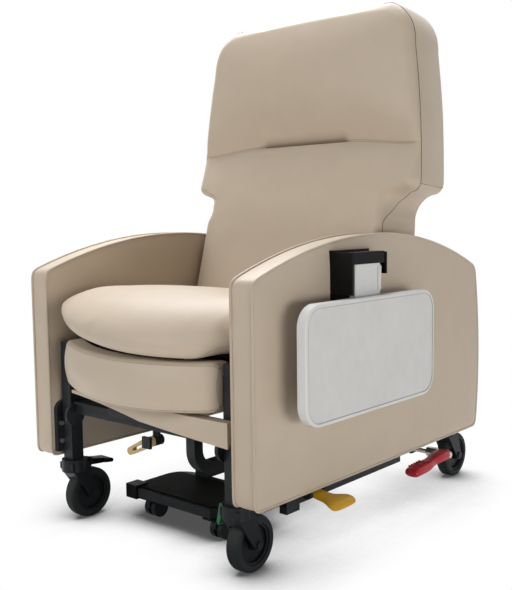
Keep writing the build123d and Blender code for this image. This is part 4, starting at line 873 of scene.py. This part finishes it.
def make_back():
    """The upholstered back: crowned front with its sewn channel and tuft, side band and rear."""
    grid = back_grid()
    height, width = grid.shape[:2]
    flat = grid.reshape(-1, 2)
    border = grid_border(height, width, 0)
    loop = np.array([flat[i] for i in border])
    dense = np.concatenate([loop + (np.roll(loop, -1, axis=0) - loop) * k / 6 for k in range(6)])
    inset = edge_distance(flat, dense)
    shell = [
        back_place(x, v, front_swell(x, v, depth_in)) for (x, v), depth_in in zip(flat, inset)
    ]
    rear_base = len(shell)
    for (x, v), depth_in in zip(flat, inset):
        rear = back_depth(v) - 4.0 * (1 - math.exp(-depth_in / 60))
        rear += 5.0 * max(0.0, 1 - depth_in / 9.0) ** 2
        rear += 1.0 * swell_noise(x, v, 9.0, 110)
        shell.append(back_place(x, v, rear))
    faces = []
    for r in range(height - 1):
        for base in (0, rear_base):
            first = [base + r * width + c for c in range(width)]
            second = [number + width for number in first]
            faces += strip_faces(first, second, closed=False)
    rows = [border]
    band_shares = (0.03, 0.1, 0.22, 0.36, 0.5, 0.64, 0.78, 0.9, 0.97)
    normals = outward_normals(loop)
    for share in band_shares:
        row = []
        for (x, v), (nx, nv) in zip(loop, normals):
            front = edge_form(x, v)[0]
            w = front + (back_depth(v) - front) * share
            bulge = 2.6 * math.sin(math.pi * share) ** 0.6
            bulge += 0.8 * swell_noise(x, v, w, 70, 4.0)
            row.append(len(shell))
            shell.append(back_place(x + nx * bulge, v + nv * bulge, w))
        rows.append(row)
    rows.append([number + rear_base for number in border])
    for first, second in zip(rows, rows[1:]):
        faces += strip_faces(first, second)
    piece = new_piece("back_upholstery", shell, faces, "upholstery", "back")
    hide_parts("back_cushion", "back_cover")
    return piece, loop, normals, len(flat), inset, flat


back, back_loop, back_normals, back_front_count, back_inset, back_flat = make_back()
back_pins = np.ones(len(back.data.vertices))
for number in range(back_front_count):
    x, v = back_flat[number]
    free = min(1.0, back_inset[number] / 60.0)
    free *= 1 - bell(v, LUMBAR, 26.0)
    back_pins[number] = 1 - 0.97 * free
stuff(back, back_pins, 4.0)


def seam_tube(name, points, radius, body, finish="seam", closed=True):
    """A thin tube of thread or folded edge along points in metres; in the default seam finish it is
    painted seam shadow.
    """
    curve = bpy.data.curves.new(name, "CURVE")
    curve.dimensions = "3D"
    curve.bevel_depth = radius * MM
    curve.bevel_resolution = 2
    curve.use_fill_caps = True
    spline = curve.splines.new("POLY")
    spline.points.add(len(points) - 1)
    for slot_point, point in zip(spline.points, points):
        slot_point.co = (*point, 1.0)
    spline.use_cyclic_u = closed
    shape = bpy.data.objects.new(name, curve)
    mesh = bpy.data.meshes.new_from_object(shape)
    bpy.data.objects.remove(shape)
    piece = bpy.data.objects.new(name, mesh)
    bpy.context.scene.collection.objects.link(piece)
    mesh.name = name
    mesh.materials.clear()
    mesh.materials.append(FINISHES[finish])
    mesh.polygons.foreach_set("use_smooth", [True] * len(mesh.polygons))
    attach(piece, body)
    return piece


def back_front_at(x, v, proud):
    """A point on the back's front face, proud of it by some millimetres."""
    depth_in = float(edge_distance(np.array([[x, v]]), back_loop)[0])
    return back_place(x, v, front_swell(x, v, depth_in) + proud)


# The back's front seams: real seams, drawn dark as painted shadow in the seam line
for side, place in ((1, "left"), (-1, "right")):
    border_points = sorted(
        ((x, v, nx, nv) for (x, v), (nx, nv) in zip(back_loop, back_normals)
         if x * side > 240 and v > 190),
        key=lambda row: math.atan2(row[1] - 500.0, abs(row[0])),
    )
    seam_tube(
        f"back_front_{place}_seam",
        [back_place(x, v, edge_form(x, v)[0] + 0.6) for x, v, nx, nv in border_points],
        0.9, "back", closed=False,
    )
# The wing seams: real seams, drawn dark as painted shadow in the seam line
for side, place in ((1, "left"), (-1, "right")):
    corner = min(range(len(back_loop)), key=lambda i: math.dist(back_loop[i], (side * 369.0, 353.0)))
    x, v = back_loop[corner] + back_normals[corner] * 2.2
    seam_tube(
        f"back_wing_{place}_seam",
        [back_place(x, v, w) for w in np.linspace(-10.0, -118.0, 24)],
        0.6, "back", closed=False,
    )
# The tuft's seam: a near-black tube of painted shadow in the tuft's crease
seam_tube(
    "back_tuft_seam_shadow",
    [back_front_at(x, LUMBAR + 0.6, 0.2) for x in np.linspace(-TUFT_HALF - 1, TUFT_HALF + 1, 90)],
    0.9, "back", closed=False,
)
for offset, sides in ((-3.0, (1,)), (2.0, (1, -1))):
    for side in sides:
        place = "left" if side > 0 else "right"
        label = "lower" if offset < 0 else "upper"
        xs = np.linspace(TUFT_HALF + 10.0, 352.0, 60)
        seam_tube(
            f"back_channel_{place}_{label}_seam",
            [back_front_at(side * x, seam_line(x) + offset, 0.0) for x in xs],
            0.45, "back", "stitch", closed=False,
        )

# Ends of the seat cushion and the leg pad
CAP_TIP = 0.2


def end_draw(x, half, radius, depth_share):
    """How far a cushion's ring at x is drawn in, so that the cushion's end is round."""
    reach = max(0.0, (abs(x) - (half - radius)) / radius)
    return radius * depth_share * (1 - math.sqrt(max(0.0, 1 - reach**2)))


def close_end(shell, faces, row, out, shares, puff):
    """Close a cushion's end by rings that shrink to its middle and puff out a little."""
    points = np.array([shell[number] for number in row])
    centre = points.mean(axis=0)
    inner = row
    for share in shares:
        ring = []
        for point in points:
            ring.append(len(shell))
            moved = point + (centre - point) * share
            moved[0] += out * puff * MM * math.sin(share * math.pi / 2)
            shell.append(Vector(moved))
        faces += strip_faces(inner, ring)
        inner = ring
    tip = len(shell)
    shell.append(Vector(centre) + Vector((out * (puff + CAP_TIP) * MM, 0, 0)))
    faces += [(inner[i], inner[(i + 1) % len(inner)], tip) for i in range(len(inner))]


# Seat cushion
SEAT_CAP_SHARES = (0.12, 0.3, 0.55, 0.8)
SEAT_CAP_PUFF = 3.0
SEAT_END_SHARE = 0.9
SEAT_HALF = 297.0
SEAT_REAR = 130.0
SEAT_REAR_LEAN = 12.0
SEAT_BASE = 467.3
SEAT_BACK_OF_NOSE = -255.0
SEAT_NOSE = -405.0
SEAT_SIDE_BACK = 113.0
SEAT_LOW = 471.0
SEAT_SIDE_RISE = 29.0
SEAT_BULGE = 14.0
SEAT_TIP_HIGH = 26.0
SEAT_NOSE_POWER = 1.65
SEAT_NOSE_STEPS = 26
SEAT_CREST = (-220.0, 592.0)
SEAT_SIDE_DROP = 11.0
SEAT_REAR_HIGH = 541.0
SEAT_REAR_DROP = 6.0
SEAT_END_ROUND = 18.0
SEAT_TILT = 0.088
SEAT_END_DROP = 9.0
SEAT_SWEEP = (206.0, 262.0)
SEAT_COLUMNS = 110
SEAT_NOSE_FLOOR = 459.0


def seat_side(share):
    """How much of the side's shape a place across the seat has."""
    return 0.82 * share**2 + 0.18 * share**8


def seat_ring(share):
    """One side view of the seat, as even (y, z) points from the nose round over the top."""
    side = seat_side(abs(share))
    x = share * SEAT_HALF
    nose = SEAT_NOSE + SEAT_SIDE_BACK * side
    level = SEAT_LOW + SEAT_SIDE_RISE * side
    low = level - 2.0 - SEAT_TILT * x * (1 - eased(x, *SEAT_SWEEP))
    crest = SEAT_CREST[1] - SEAT_SIDE_DROP * side
    rear = SEAT_REAR_HIGH - SEAT_REAR_DROP * side
    crest -= SEAT_END_DROP * eased(abs(x), 225, 297)
    foot = (nose + SEAT_BULGE, low)
    tip = low + SEAT_TIP_HIGH
    back_top = (SEAT_REAR + SEAT_REAR_LEAN, rear)
    saddle = ((SEAT_CREST[0] + back_top[0]) / 2, (crest + rear) / 2 + 11.0)
    points = arc(foot, (nose + SEAT_BULGE * 0.3, (foot[1] + tip) / 2), (nose, tip), 8)
    for step in range(SEAT_NOSE_STEPS):
        angle = math.pi / 2 * step / SEAT_NOSE_STEPS
        ahead = math.cos(angle) ** (2 / SEAT_NOSE_POWER)
        above = math.sin(angle) ** (2 / SEAT_NOSE_POWER)
        points.append((SEAT_CREST[0] + (nose - SEAT_CREST[0]) * ahead, tip + (crest - tip) * above))
    points += arc((SEAT_CREST[0], crest), saddle, back_top, 44)
    points += line(back_top, (SEAT_REAR, SEAT_BASE), 8)
    points += line((SEAT_REAR, SEAT_BASE), (SEAT_BACK_OF_NOSE, SEAT_BASE), 40)
    points += line((SEAT_BACK_OF_NOSE, SEAT_BASE), foot, 14)
    ring = np.array(points)
    ease = ring.copy()
    for _ in range(6):
        ease = (np.roll(ease, 1, axis=0) + ease * 2 + np.roll(ease, -1, axis=0)) / 4
    behind = ease[:, 0] > SEAT_BACK_OF_NOSE
    ease[behind, 1] = np.maximum(ease[behind, 1], SEAT_BASE)
    return ease


def make_seat():
    """The seat cushion as rings across its width, drawn in and rounded at both ends."""
    angles = np.linspace(-1, 1, SEAT_COLUMNS)
    xs = SEAT_HALF * np.sin(angles * math.pi / 2 * 0.96) / math.sin(math.pi / 2 * 0.96)
    shell = []
    rows = []
    for x in xs:
        share = x / SEAT_HALF
        ring = seat_ring(share)
        draw = end_draw(x, SEAT_HALF, SEAT_END_ROUND, SEAT_END_SHARE)
        normals = outward_normals(ring)
        row = []
        for (y, z), (ny, nz) in zip(ring, normals):
            pull = draw if z > SEAT_BASE + 1.0 else draw * 0.25
            ripple = swell_noise(x, y, z, 130, 7.0) * 1.5
            py = y - ny * (pull - ripple)
            pz = z - nz * (pull - ripple)
            floor_here = SEAT_BASE if y > SEAT_BACK_OF_NOSE else SEAT_NOSE_FLOOR
            row.append(len(shell))
            shell.append(at(x, py, max(floor_here, pz)))
        rows.append(row)
    faces = []
    for first, second in zip(rows, rows[1:]):
        faces += strip_faces(first, second)
    for cap_row, out in ((rows[0], -1), (rows[-1], 1)):
        close_end(shell, faces, cap_row, out, SEAT_CAP_SHARES, SEAT_CAP_PUFF)
    seat = new_piece("seat_upholstery", shell, faces, "upholstery", "chair")
    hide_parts("seat_cushion")
    return seat, rows


seat, seat_rows = make_seat()
seat_places = [in_chair(point.co) for point in seat.data.vertices]
seat_pins = [
    1.0 if place.z < SEAT_BASE + 16.0 or place.y > SEAT_REAR - 12.0
    else 0.12 + 0.88 * eased(abs(place.x), 150, 280)
    for place in seat_places
]
stuff(seat, seat_pins, 5.0)
seat_ends = [in_chair(seat.data.vertices[row[0]].co) for row in seat_rows]
for side, place in ((1, "left"), (-1, "right")):
    hem = [seat.data.vertices[row[0]].co.copy() for row, end in zip(seat_rows, seat_ends)
           if end.x * side > 205.0]
    seam_tube(f"seat_{place}_hem", hem, 0.6, "chair", "stitch", closed=False)

# Leg pad
PAD_HALF = 254.0
PAD_NOSE = -395.0
PAD_BOW = 70.0
PAD_DEEP = 62.0
PAD_LOW = 343.0
PAD_LOW_RISE = 12.0
PAD_HIGH = 455.0
PAD_HIGH_RISE = 6.0
PAD_TILT = 0.014
PAD_COLUMNS = 90
PAD_ROUND = 15.0
PAD_END_ROUND = 20.0
PAD_END_SHARE = 0.85
PAD_CAP_SHARES = (0.3, 0.65)
PAD_CAP_PUFF = 2.0


def pad_ring(x):
    """One side view of the leg pad at x, as (y, z) points."""
    side = (x / PAD_HALF) ** 2
    front = PAD_NOSE + PAD_BOW * side
    rear = front + PAD_DEEP
    low = PAD_LOW + PAD_LOW_RISE * side - PAD_TILT * x
    high = PAD_HIGH + PAD_HIGH_RISE * side - PAD_TILT * x
    middle = (low + high) / 2
    r = PAD_ROUND
    o = r * (1 - 1 / math.sqrt(2))
    points = arc((front + 2, low + r), (front - 5.0, middle), (front + 2, high - r), 22)
    points += arc((front + 2, high - r), (front + o + 2, high - o), (front + r + 2, high), 8)
    points += line((front + r + 2, high), (rear - r, high), 8)
    points += arc((rear - r, high), (rear - o, high - o), (rear, high - r), 6)
    points += line((rear, high - r), (rear, low + r), 14)
    points += arc((rear, low + r), (rear - o, low + o), (rear - r, low), 6)
    points += line((rear - r, low), (front + r + 2, low), 8)
    points += arc((front + r + 2, low), (front + o + 2, low + o), (front + 2, low + r), 8)
    return np.array(points)


PAD_SEAM_TOP = 25
PAD_SEAM_LOW = -3
PAD_STITCH = 3.0


def make_pad():
    """The leg pad as rings across its width, with rounded ends."""
    angles = np.linspace(-1, 1, PAD_COLUMNS)
    xs = PAD_HALF * np.sin(angles * math.pi / 2 * 0.97) / math.sin(math.pi / 2 * 0.97)
    shell = []
    rows = []
    for x in xs:
        ring = pad_ring(x)
        draw = end_draw(x, PAD_HALF, PAD_END_ROUND, PAD_END_SHARE)
        normals = outward_normals(ring)
        row = []
        for (y, z), (ny, nz) in zip(ring, normals):
            ripple = swell_noise(x, y, z, 70, 3.0) * 0.9
            row.append(len(shell))
            shell.append(at(x, y - ny * (draw - ripple), z - nz * (draw - ripple)))
        rows.append(row)
    faces = []
    for first, second in zip(rows, rows[1:]):
        faces += strip_faces(first, second)
    for cap_row, out in ((rows[0], -1), (rows[-1], 1)):
        close_end(shell, faces, cap_row, out, PAD_CAP_SHARES, PAD_CAP_PUFF)
    pad = new_piece("leg_pad_upholstery", shell, faces, "upholstery", "leg_rest")
    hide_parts("leg_pad")
    return pad, rows


pad, pad_rows = make_pad()
pad_pins = np.full(len(pad.data.vertices), 0.2)
for row in pad_rows:
    for number in (*range(PAD_SEAM_TOP - 1, len(row) + PAD_SEAM_LOW + 2), 0):
        pad_pins[row[number]] = 1.0
stuff(pad, pad_pins, 4.0)
for number, label in ((PAD_SEAM_TOP, "top"), (PAD_SEAM_LOW, "low")):
    points = [pad.data.vertices[row[number]].co.copy() for row in pad_rows]
    seam_tube(f"leg_pad_{label}_seam", points, 0.5, "leg_rest", "stitch", closed=False)
for number, place in ((2, "right"), (len(pad_rows) - 3, "left")):
    row = pad_rows[number]
    numbers = row[PAD_SEAM_LOW:] + row[: PAD_SEAM_TOP + 1]
    points = [pad.data.vertices[number].co.copy() for number in numbers]
    seam_tube(f"leg_pad_{place}_seam", points, 0.5, "leg_rest", "stitch", closed=False)
    # Corner stitches: real stitches, made near black as painted shadow by the seam finish
    for corner, label in ((points[0], "low"), (points[-1], "top")):
        stitch = [corner + Vector((shift * MM, 0, 0)) for shift in (-PAD_STITCH, PAD_STITCH)]
        seam_tube(f"leg_pad_{place}_{label}_stitch", stitch, 0.9, "leg_rest", closed=False)

for piece in (back, seat, pad):
    round_off(piece)

# Moulded pedals, each swept through stations of
# (travel, middle across, height, half width, half thickness)
YELLOW_STATIONS = (
    (345, -120, 155, 19, 6.5), (354, -120, 155, 19, 8.5), (370, -120, 151, 19, 8),
    (388, -119, 148.5, 22, 7), (400, -116, 148, 31, 8), (411, -113, 146.5, 41, 9.5),
    (421, -112.5, 142.5, 42.5, 9.5), (430, -112.5, 138.5, 41, 7),
)
RED_STATIONS = (
    (283, 351, 100, 19, 11), (300, 351, 101.5, 21, 12.5), (330, 351, 103, 22, 12.5),
    (360, 351, 104.5, 21, 12), (381, 351, 108, 14.5, 10.5), (402, 351, 112, 20, 12),
    (425, 351, 113, 22, 13), (452, 351, 114, 21, 13), (465, 351, 114, 20, 12),
)
PEDAL_STEPS = 48
PEDAL_SIDES = 36
PEDAL_SQUARE = 2.6
PEDAL_ROUND = 9.0


def moulded_pedal(name, node, stations, along_x, body):
    """A soft-edged pedal swept through its stations, in place of a CAD node."""
    stations = np.array(stations, dtype=float)
    first, last = stations[0, 0], stations[-1, 0]
    turn_angles = np.linspace(0, math.pi, PEDAL_STEPS)
    travel = first + (last - first) * (1 - np.cos(turn_angles)) / 2
    form = np.column_stack([np.interp(travel, stations[:, 0], stations[:, k]) for k in range(1, 5)])
    for _ in range(5):
        form[1:-1] = (form[:-2] + form[1:-1] * 2 + form[2:]) / 4
    shell = []
    rows = []
    for place, (across, high, half, thick) in zip(travel, form):
        near = min(place - first, last - place, PEDAL_ROUND) / PEDAL_ROUND
        size = 0.15 + 0.85 * math.sqrt(max(0.0, 1 - (1 - near) ** 2))
        row = []
        for k in range(PEDAL_SIDES):
            angle = 2 * math.pi * k / PEDAL_SIDES
            wide = math.copysign(abs(math.cos(angle)) ** (2 / PEDAL_SQUARE), math.cos(angle))
            tall = math.copysign(abs(math.sin(angle)) ** (2 / PEDAL_SQUARE), math.sin(angle))
            side_at = across + half * wide * (0.75 + 0.25 * size)
            high_at = high + thick * tall * size
            row.append(len(shell))
            shell.append(at(place, side_at, high_at) if along_x else at(side_at, place, high_at))
        rows.append(row)
    faces = [tuple(rows[0]), tuple(rows[-1])]
    for one, two in zip(rows, rows[1:]):
        faces += strip_faces(one, two)
    pedal = new_piece(name, shell, faces, node.split("_")[0], body)
    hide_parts(node)


moulded_pedal("yellow_pedal_moulding", "yellow_pedal", YELLOW_STATIONS, True, "yellow_lever")
moulded_pedal("red_pedal_moulding", "red_pedal", RED_STATIONS, False, "red_rocker")

# Groove between the tray's rim and its face
TRAY_FACE_X = 440.4
TRAY_CORNER = 39.0
TRAY_GROOVE = 0.8
face_low, face_high = (in_chair(corner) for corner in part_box("tray_face"))
tray_groove = []
for mid_y, mid_z, start in (
    (face_high.y - TRAY_CORNER, face_high.z - TRAY_CORNER, 0.0),
    (face_low.y + TRAY_CORNER, face_high.z - TRAY_CORNER, 0.5),
    (face_low.y + TRAY_CORNER, face_low.z + TRAY_CORNER, 1.0),
    (face_high.y - TRAY_CORNER, face_low.z + TRAY_CORNER, 1.5),
):
    for k in range(13):
        angle = math.pi * (start + k / 24)
        y = mid_y + TRAY_CORNER * math.cos(angle)
        z = mid_z + TRAY_CORNER * math.sin(angle)
        tray_groove.append(at(TRAY_FACE_X, y, z))
seam_tube(
    "tray_face_groove", tray_groove, TRAY_GROOVE, "tray", "tray_groove",
)

# Ridges on the red rocker pedal
RED_X = 351.0
RED_HALF = 15.0
RIDGE_RADIUS = 2.6
RIDGE_SUNK = 1.2
RIDGE_HEIGHTS = ((300.0, 114.2), (312.0, 114.8), (324.0, 115.4), (336.0, 116.0), (348.0, 116.5))


def capsule(name, start, end, radius, finish, body, sides=12):
    """A bar with rounded ends between two points."""
    along = end - start
    length = along.length
    along.normalize()
    side = along.cross(Vector((0, 0, 1)))
    if side.length < 0.1:
        side = along.cross(Vector((0, 1, 0)))
    side.normalize()
    over = along.cross(side)
    shell = []
    rows = []
    for k in range(1, 6):
        angle = math.pi / 2 * k / 5
        rows.append((-radius * math.cos(angle), radius * math.sin(angle)))
    rows += [(length + radius * math.sin(math.pi / 2 * k / 5), radius * math.cos(math.pi / 2 * k / 5))
             for k in range(0, 5)]
    numbers = []
    for travel, girth in rows:
        row = []
        for k in range(sides):
            angle = 2 * math.pi * k / sides
            row.append(len(shell))
            ring = side * math.cos(angle) + over * math.sin(angle)
            shell.append(start + along * travel + ring * girth)
        numbers.append(row)
    faces = []
    for first, second in zip(numbers, numbers[1:]):
        faces += strip_faces(first, second)
    faces += [tuple(numbers[0]), tuple(numbers[-1])]
    piece = new_piece(name, shell, faces, finish, body)
    return piece


for count, (y, z) in enumerate(RIDGE_HEIGHTS, 1):
    capsule(
        f"red_pedal_ridge_{count}",
        at(RED_X - RED_HALF, y, z - RIDGE_SUNK), at(RED_X + RED_HALF, y, z - RIDGE_SUNK),
        RIDGE_RADIUS * MM, "red", "red_rocker",
    )

# Floor, backdrop and light
FLOOR_HALF = 14.0
floor_points = [
    (-FLOOR_HALF, -FLOOR_HALF, 0), (FLOOR_HALF, -FLOOR_HALF, 0),
    (FLOOR_HALF, FLOOR_HALF, 0), (-FLOOR_HALF, FLOOR_HALF, 0),
]
floor_mesh = bpy.data.meshes.new("floor")
floor_mesh.from_pydata(floor_points, [], [(0, 1, 2, 3)])
floor = bpy.data.objects.new("floor", floor_mesh)
bpy.context.scene.collection.objects.link(floor)

# Seen by the camera, the floor is a white emission with a painted soft shade, from ambient occlusion,
# close to what stands on it
floor_material, floor_tree, floor_shader = new_material("pale floor", 0.7)
floor_cloud = put(floor_tree, "ShaderNodeTexNoise")
floor_cloud.inputs["Scale"].default_value = 1.5
floor_tint = tone_ramp(floor_tree, floor_cloud.outputs["Fac"], (0.80, 0.80, 0.80), (0.84, 0.84, 0.84))
floor_tree.links.new(floor_tint, floor_shader.inputs["Base Color"])
FLOOR_SHADE_REACH = 0.26
floor_near = put(floor_tree, "ShaderNodeAmbientOcclusion")
floor_near.samples = 16
floor_near.inputs["Distance"].default_value = FLOOR_SHADE_REACH
floor_shade = tone_ramp(
    floor_tree, floor_near.outputs["AO"], (0.08, 0.08, 0.08), (1.0, 1.0, 1.0), start=0.40, end=0.84,
)
floor_painted_glow = put(floor_tree, "ShaderNodeEmission")
floor_tree.links.new(floor_shade, floor_painted_glow.inputs["Color"])
floor_sight = put(floor_tree, "ShaderNodeLightPath")
floor_mix = put(floor_tree, "ShaderNodeMixShader")
floor_tree.links.new(floor_sight.outputs["Is Camera Ray"], floor_mix.inputs[0])
floor_tree.links.new(floor_shader.outputs[0], floor_mix.inputs[1])
floor_tree.links.new(floor_painted_glow.outputs[0], floor_mix.inputs[2])
floor_tree.links.new(floor_mix.outputs[0], floor_tree.nodes["Material Output"].inputs["Surface"])
floor_mesh.materials.append(floor_material)

WORLD_LIGHT = 0.15
world = bpy.data.worlds.new("studio")
bpy.context.scene.world = world
world.use_nodes = True
sky = world.node_tree
sky_light = sky.nodes["Background"]
sky_light.inputs["Color"].default_value = (1.0, 1.0, 1.0, 1.0)
sky_light.inputs["Strength"].default_value = WORLD_LIGHT
sky_seen = put(sky, "ShaderNodeBackground")
sky_seen.inputs["Color"].default_value = (1.0, 1.0, 1.0, 1.0)
sky_seen.inputs["Strength"].default_value = 1.0
sight = put(sky, "ShaderNodeLightPath")
looked_at = math_node(sky, "MAXIMUM", sight.outputs["Is Camera Ray"], sight.outputs["Is Glossy Ray"])
seen = math_node(sky, "MAXIMUM", looked_at, sight.outputs["Is Transmission Ray"])
sky_mix = put(sky, "ShaderNodeMixShader")
sky.links.new(seen, sky_mix.inputs[0])
sky.links.new(sky_light.outputs[0], sky_mix.inputs[1])
sky.links.new(sky_seen.outputs[0], sky_mix.inputs[2])
sky.links.new(sky_mix.outputs[0], sky.nodes["World Output"].inputs["Surface"])


def soft_box(name, place, aim, width, height, power):
    """A large area lamp at a place, aimed at a point, both in metres."""
    lamp = bpy.data.lights.new(name, "AREA")
    lamp.shape = "RECTANGLE"
    lamp.size = width
    lamp.size_y = height
    lamp.energy = power
    holder = bpy.data.objects.new(name, lamp)
    holder.location = place
    holder.rotation_euler = (Vector(aim) - Vector(place)).to_track_quat("-Z", "Y").to_euler()
    bpy.context.scene.collection.objects.link(holder)


soft_box("top_light", (-0.9, 0.8, 3.2), (0, 0, 0.6), 2.4, 2.4, 155)
soft_box("key_light", (-0.7, -3.3, 1.8), (0, 0, 0.6), 2.0, 1.2, 44)
soft_box("side_light", (3.2, -0.9, 0.4), (0, 0, 0.4), 1.8, 0.7, 36)
soft_box("rear_light", (0.6, 3.4, 2.2), (0, 0, 0.6), 2.0, 2.0, 10)

bpy.context.scene.view_settings.view_transform = "Standard"
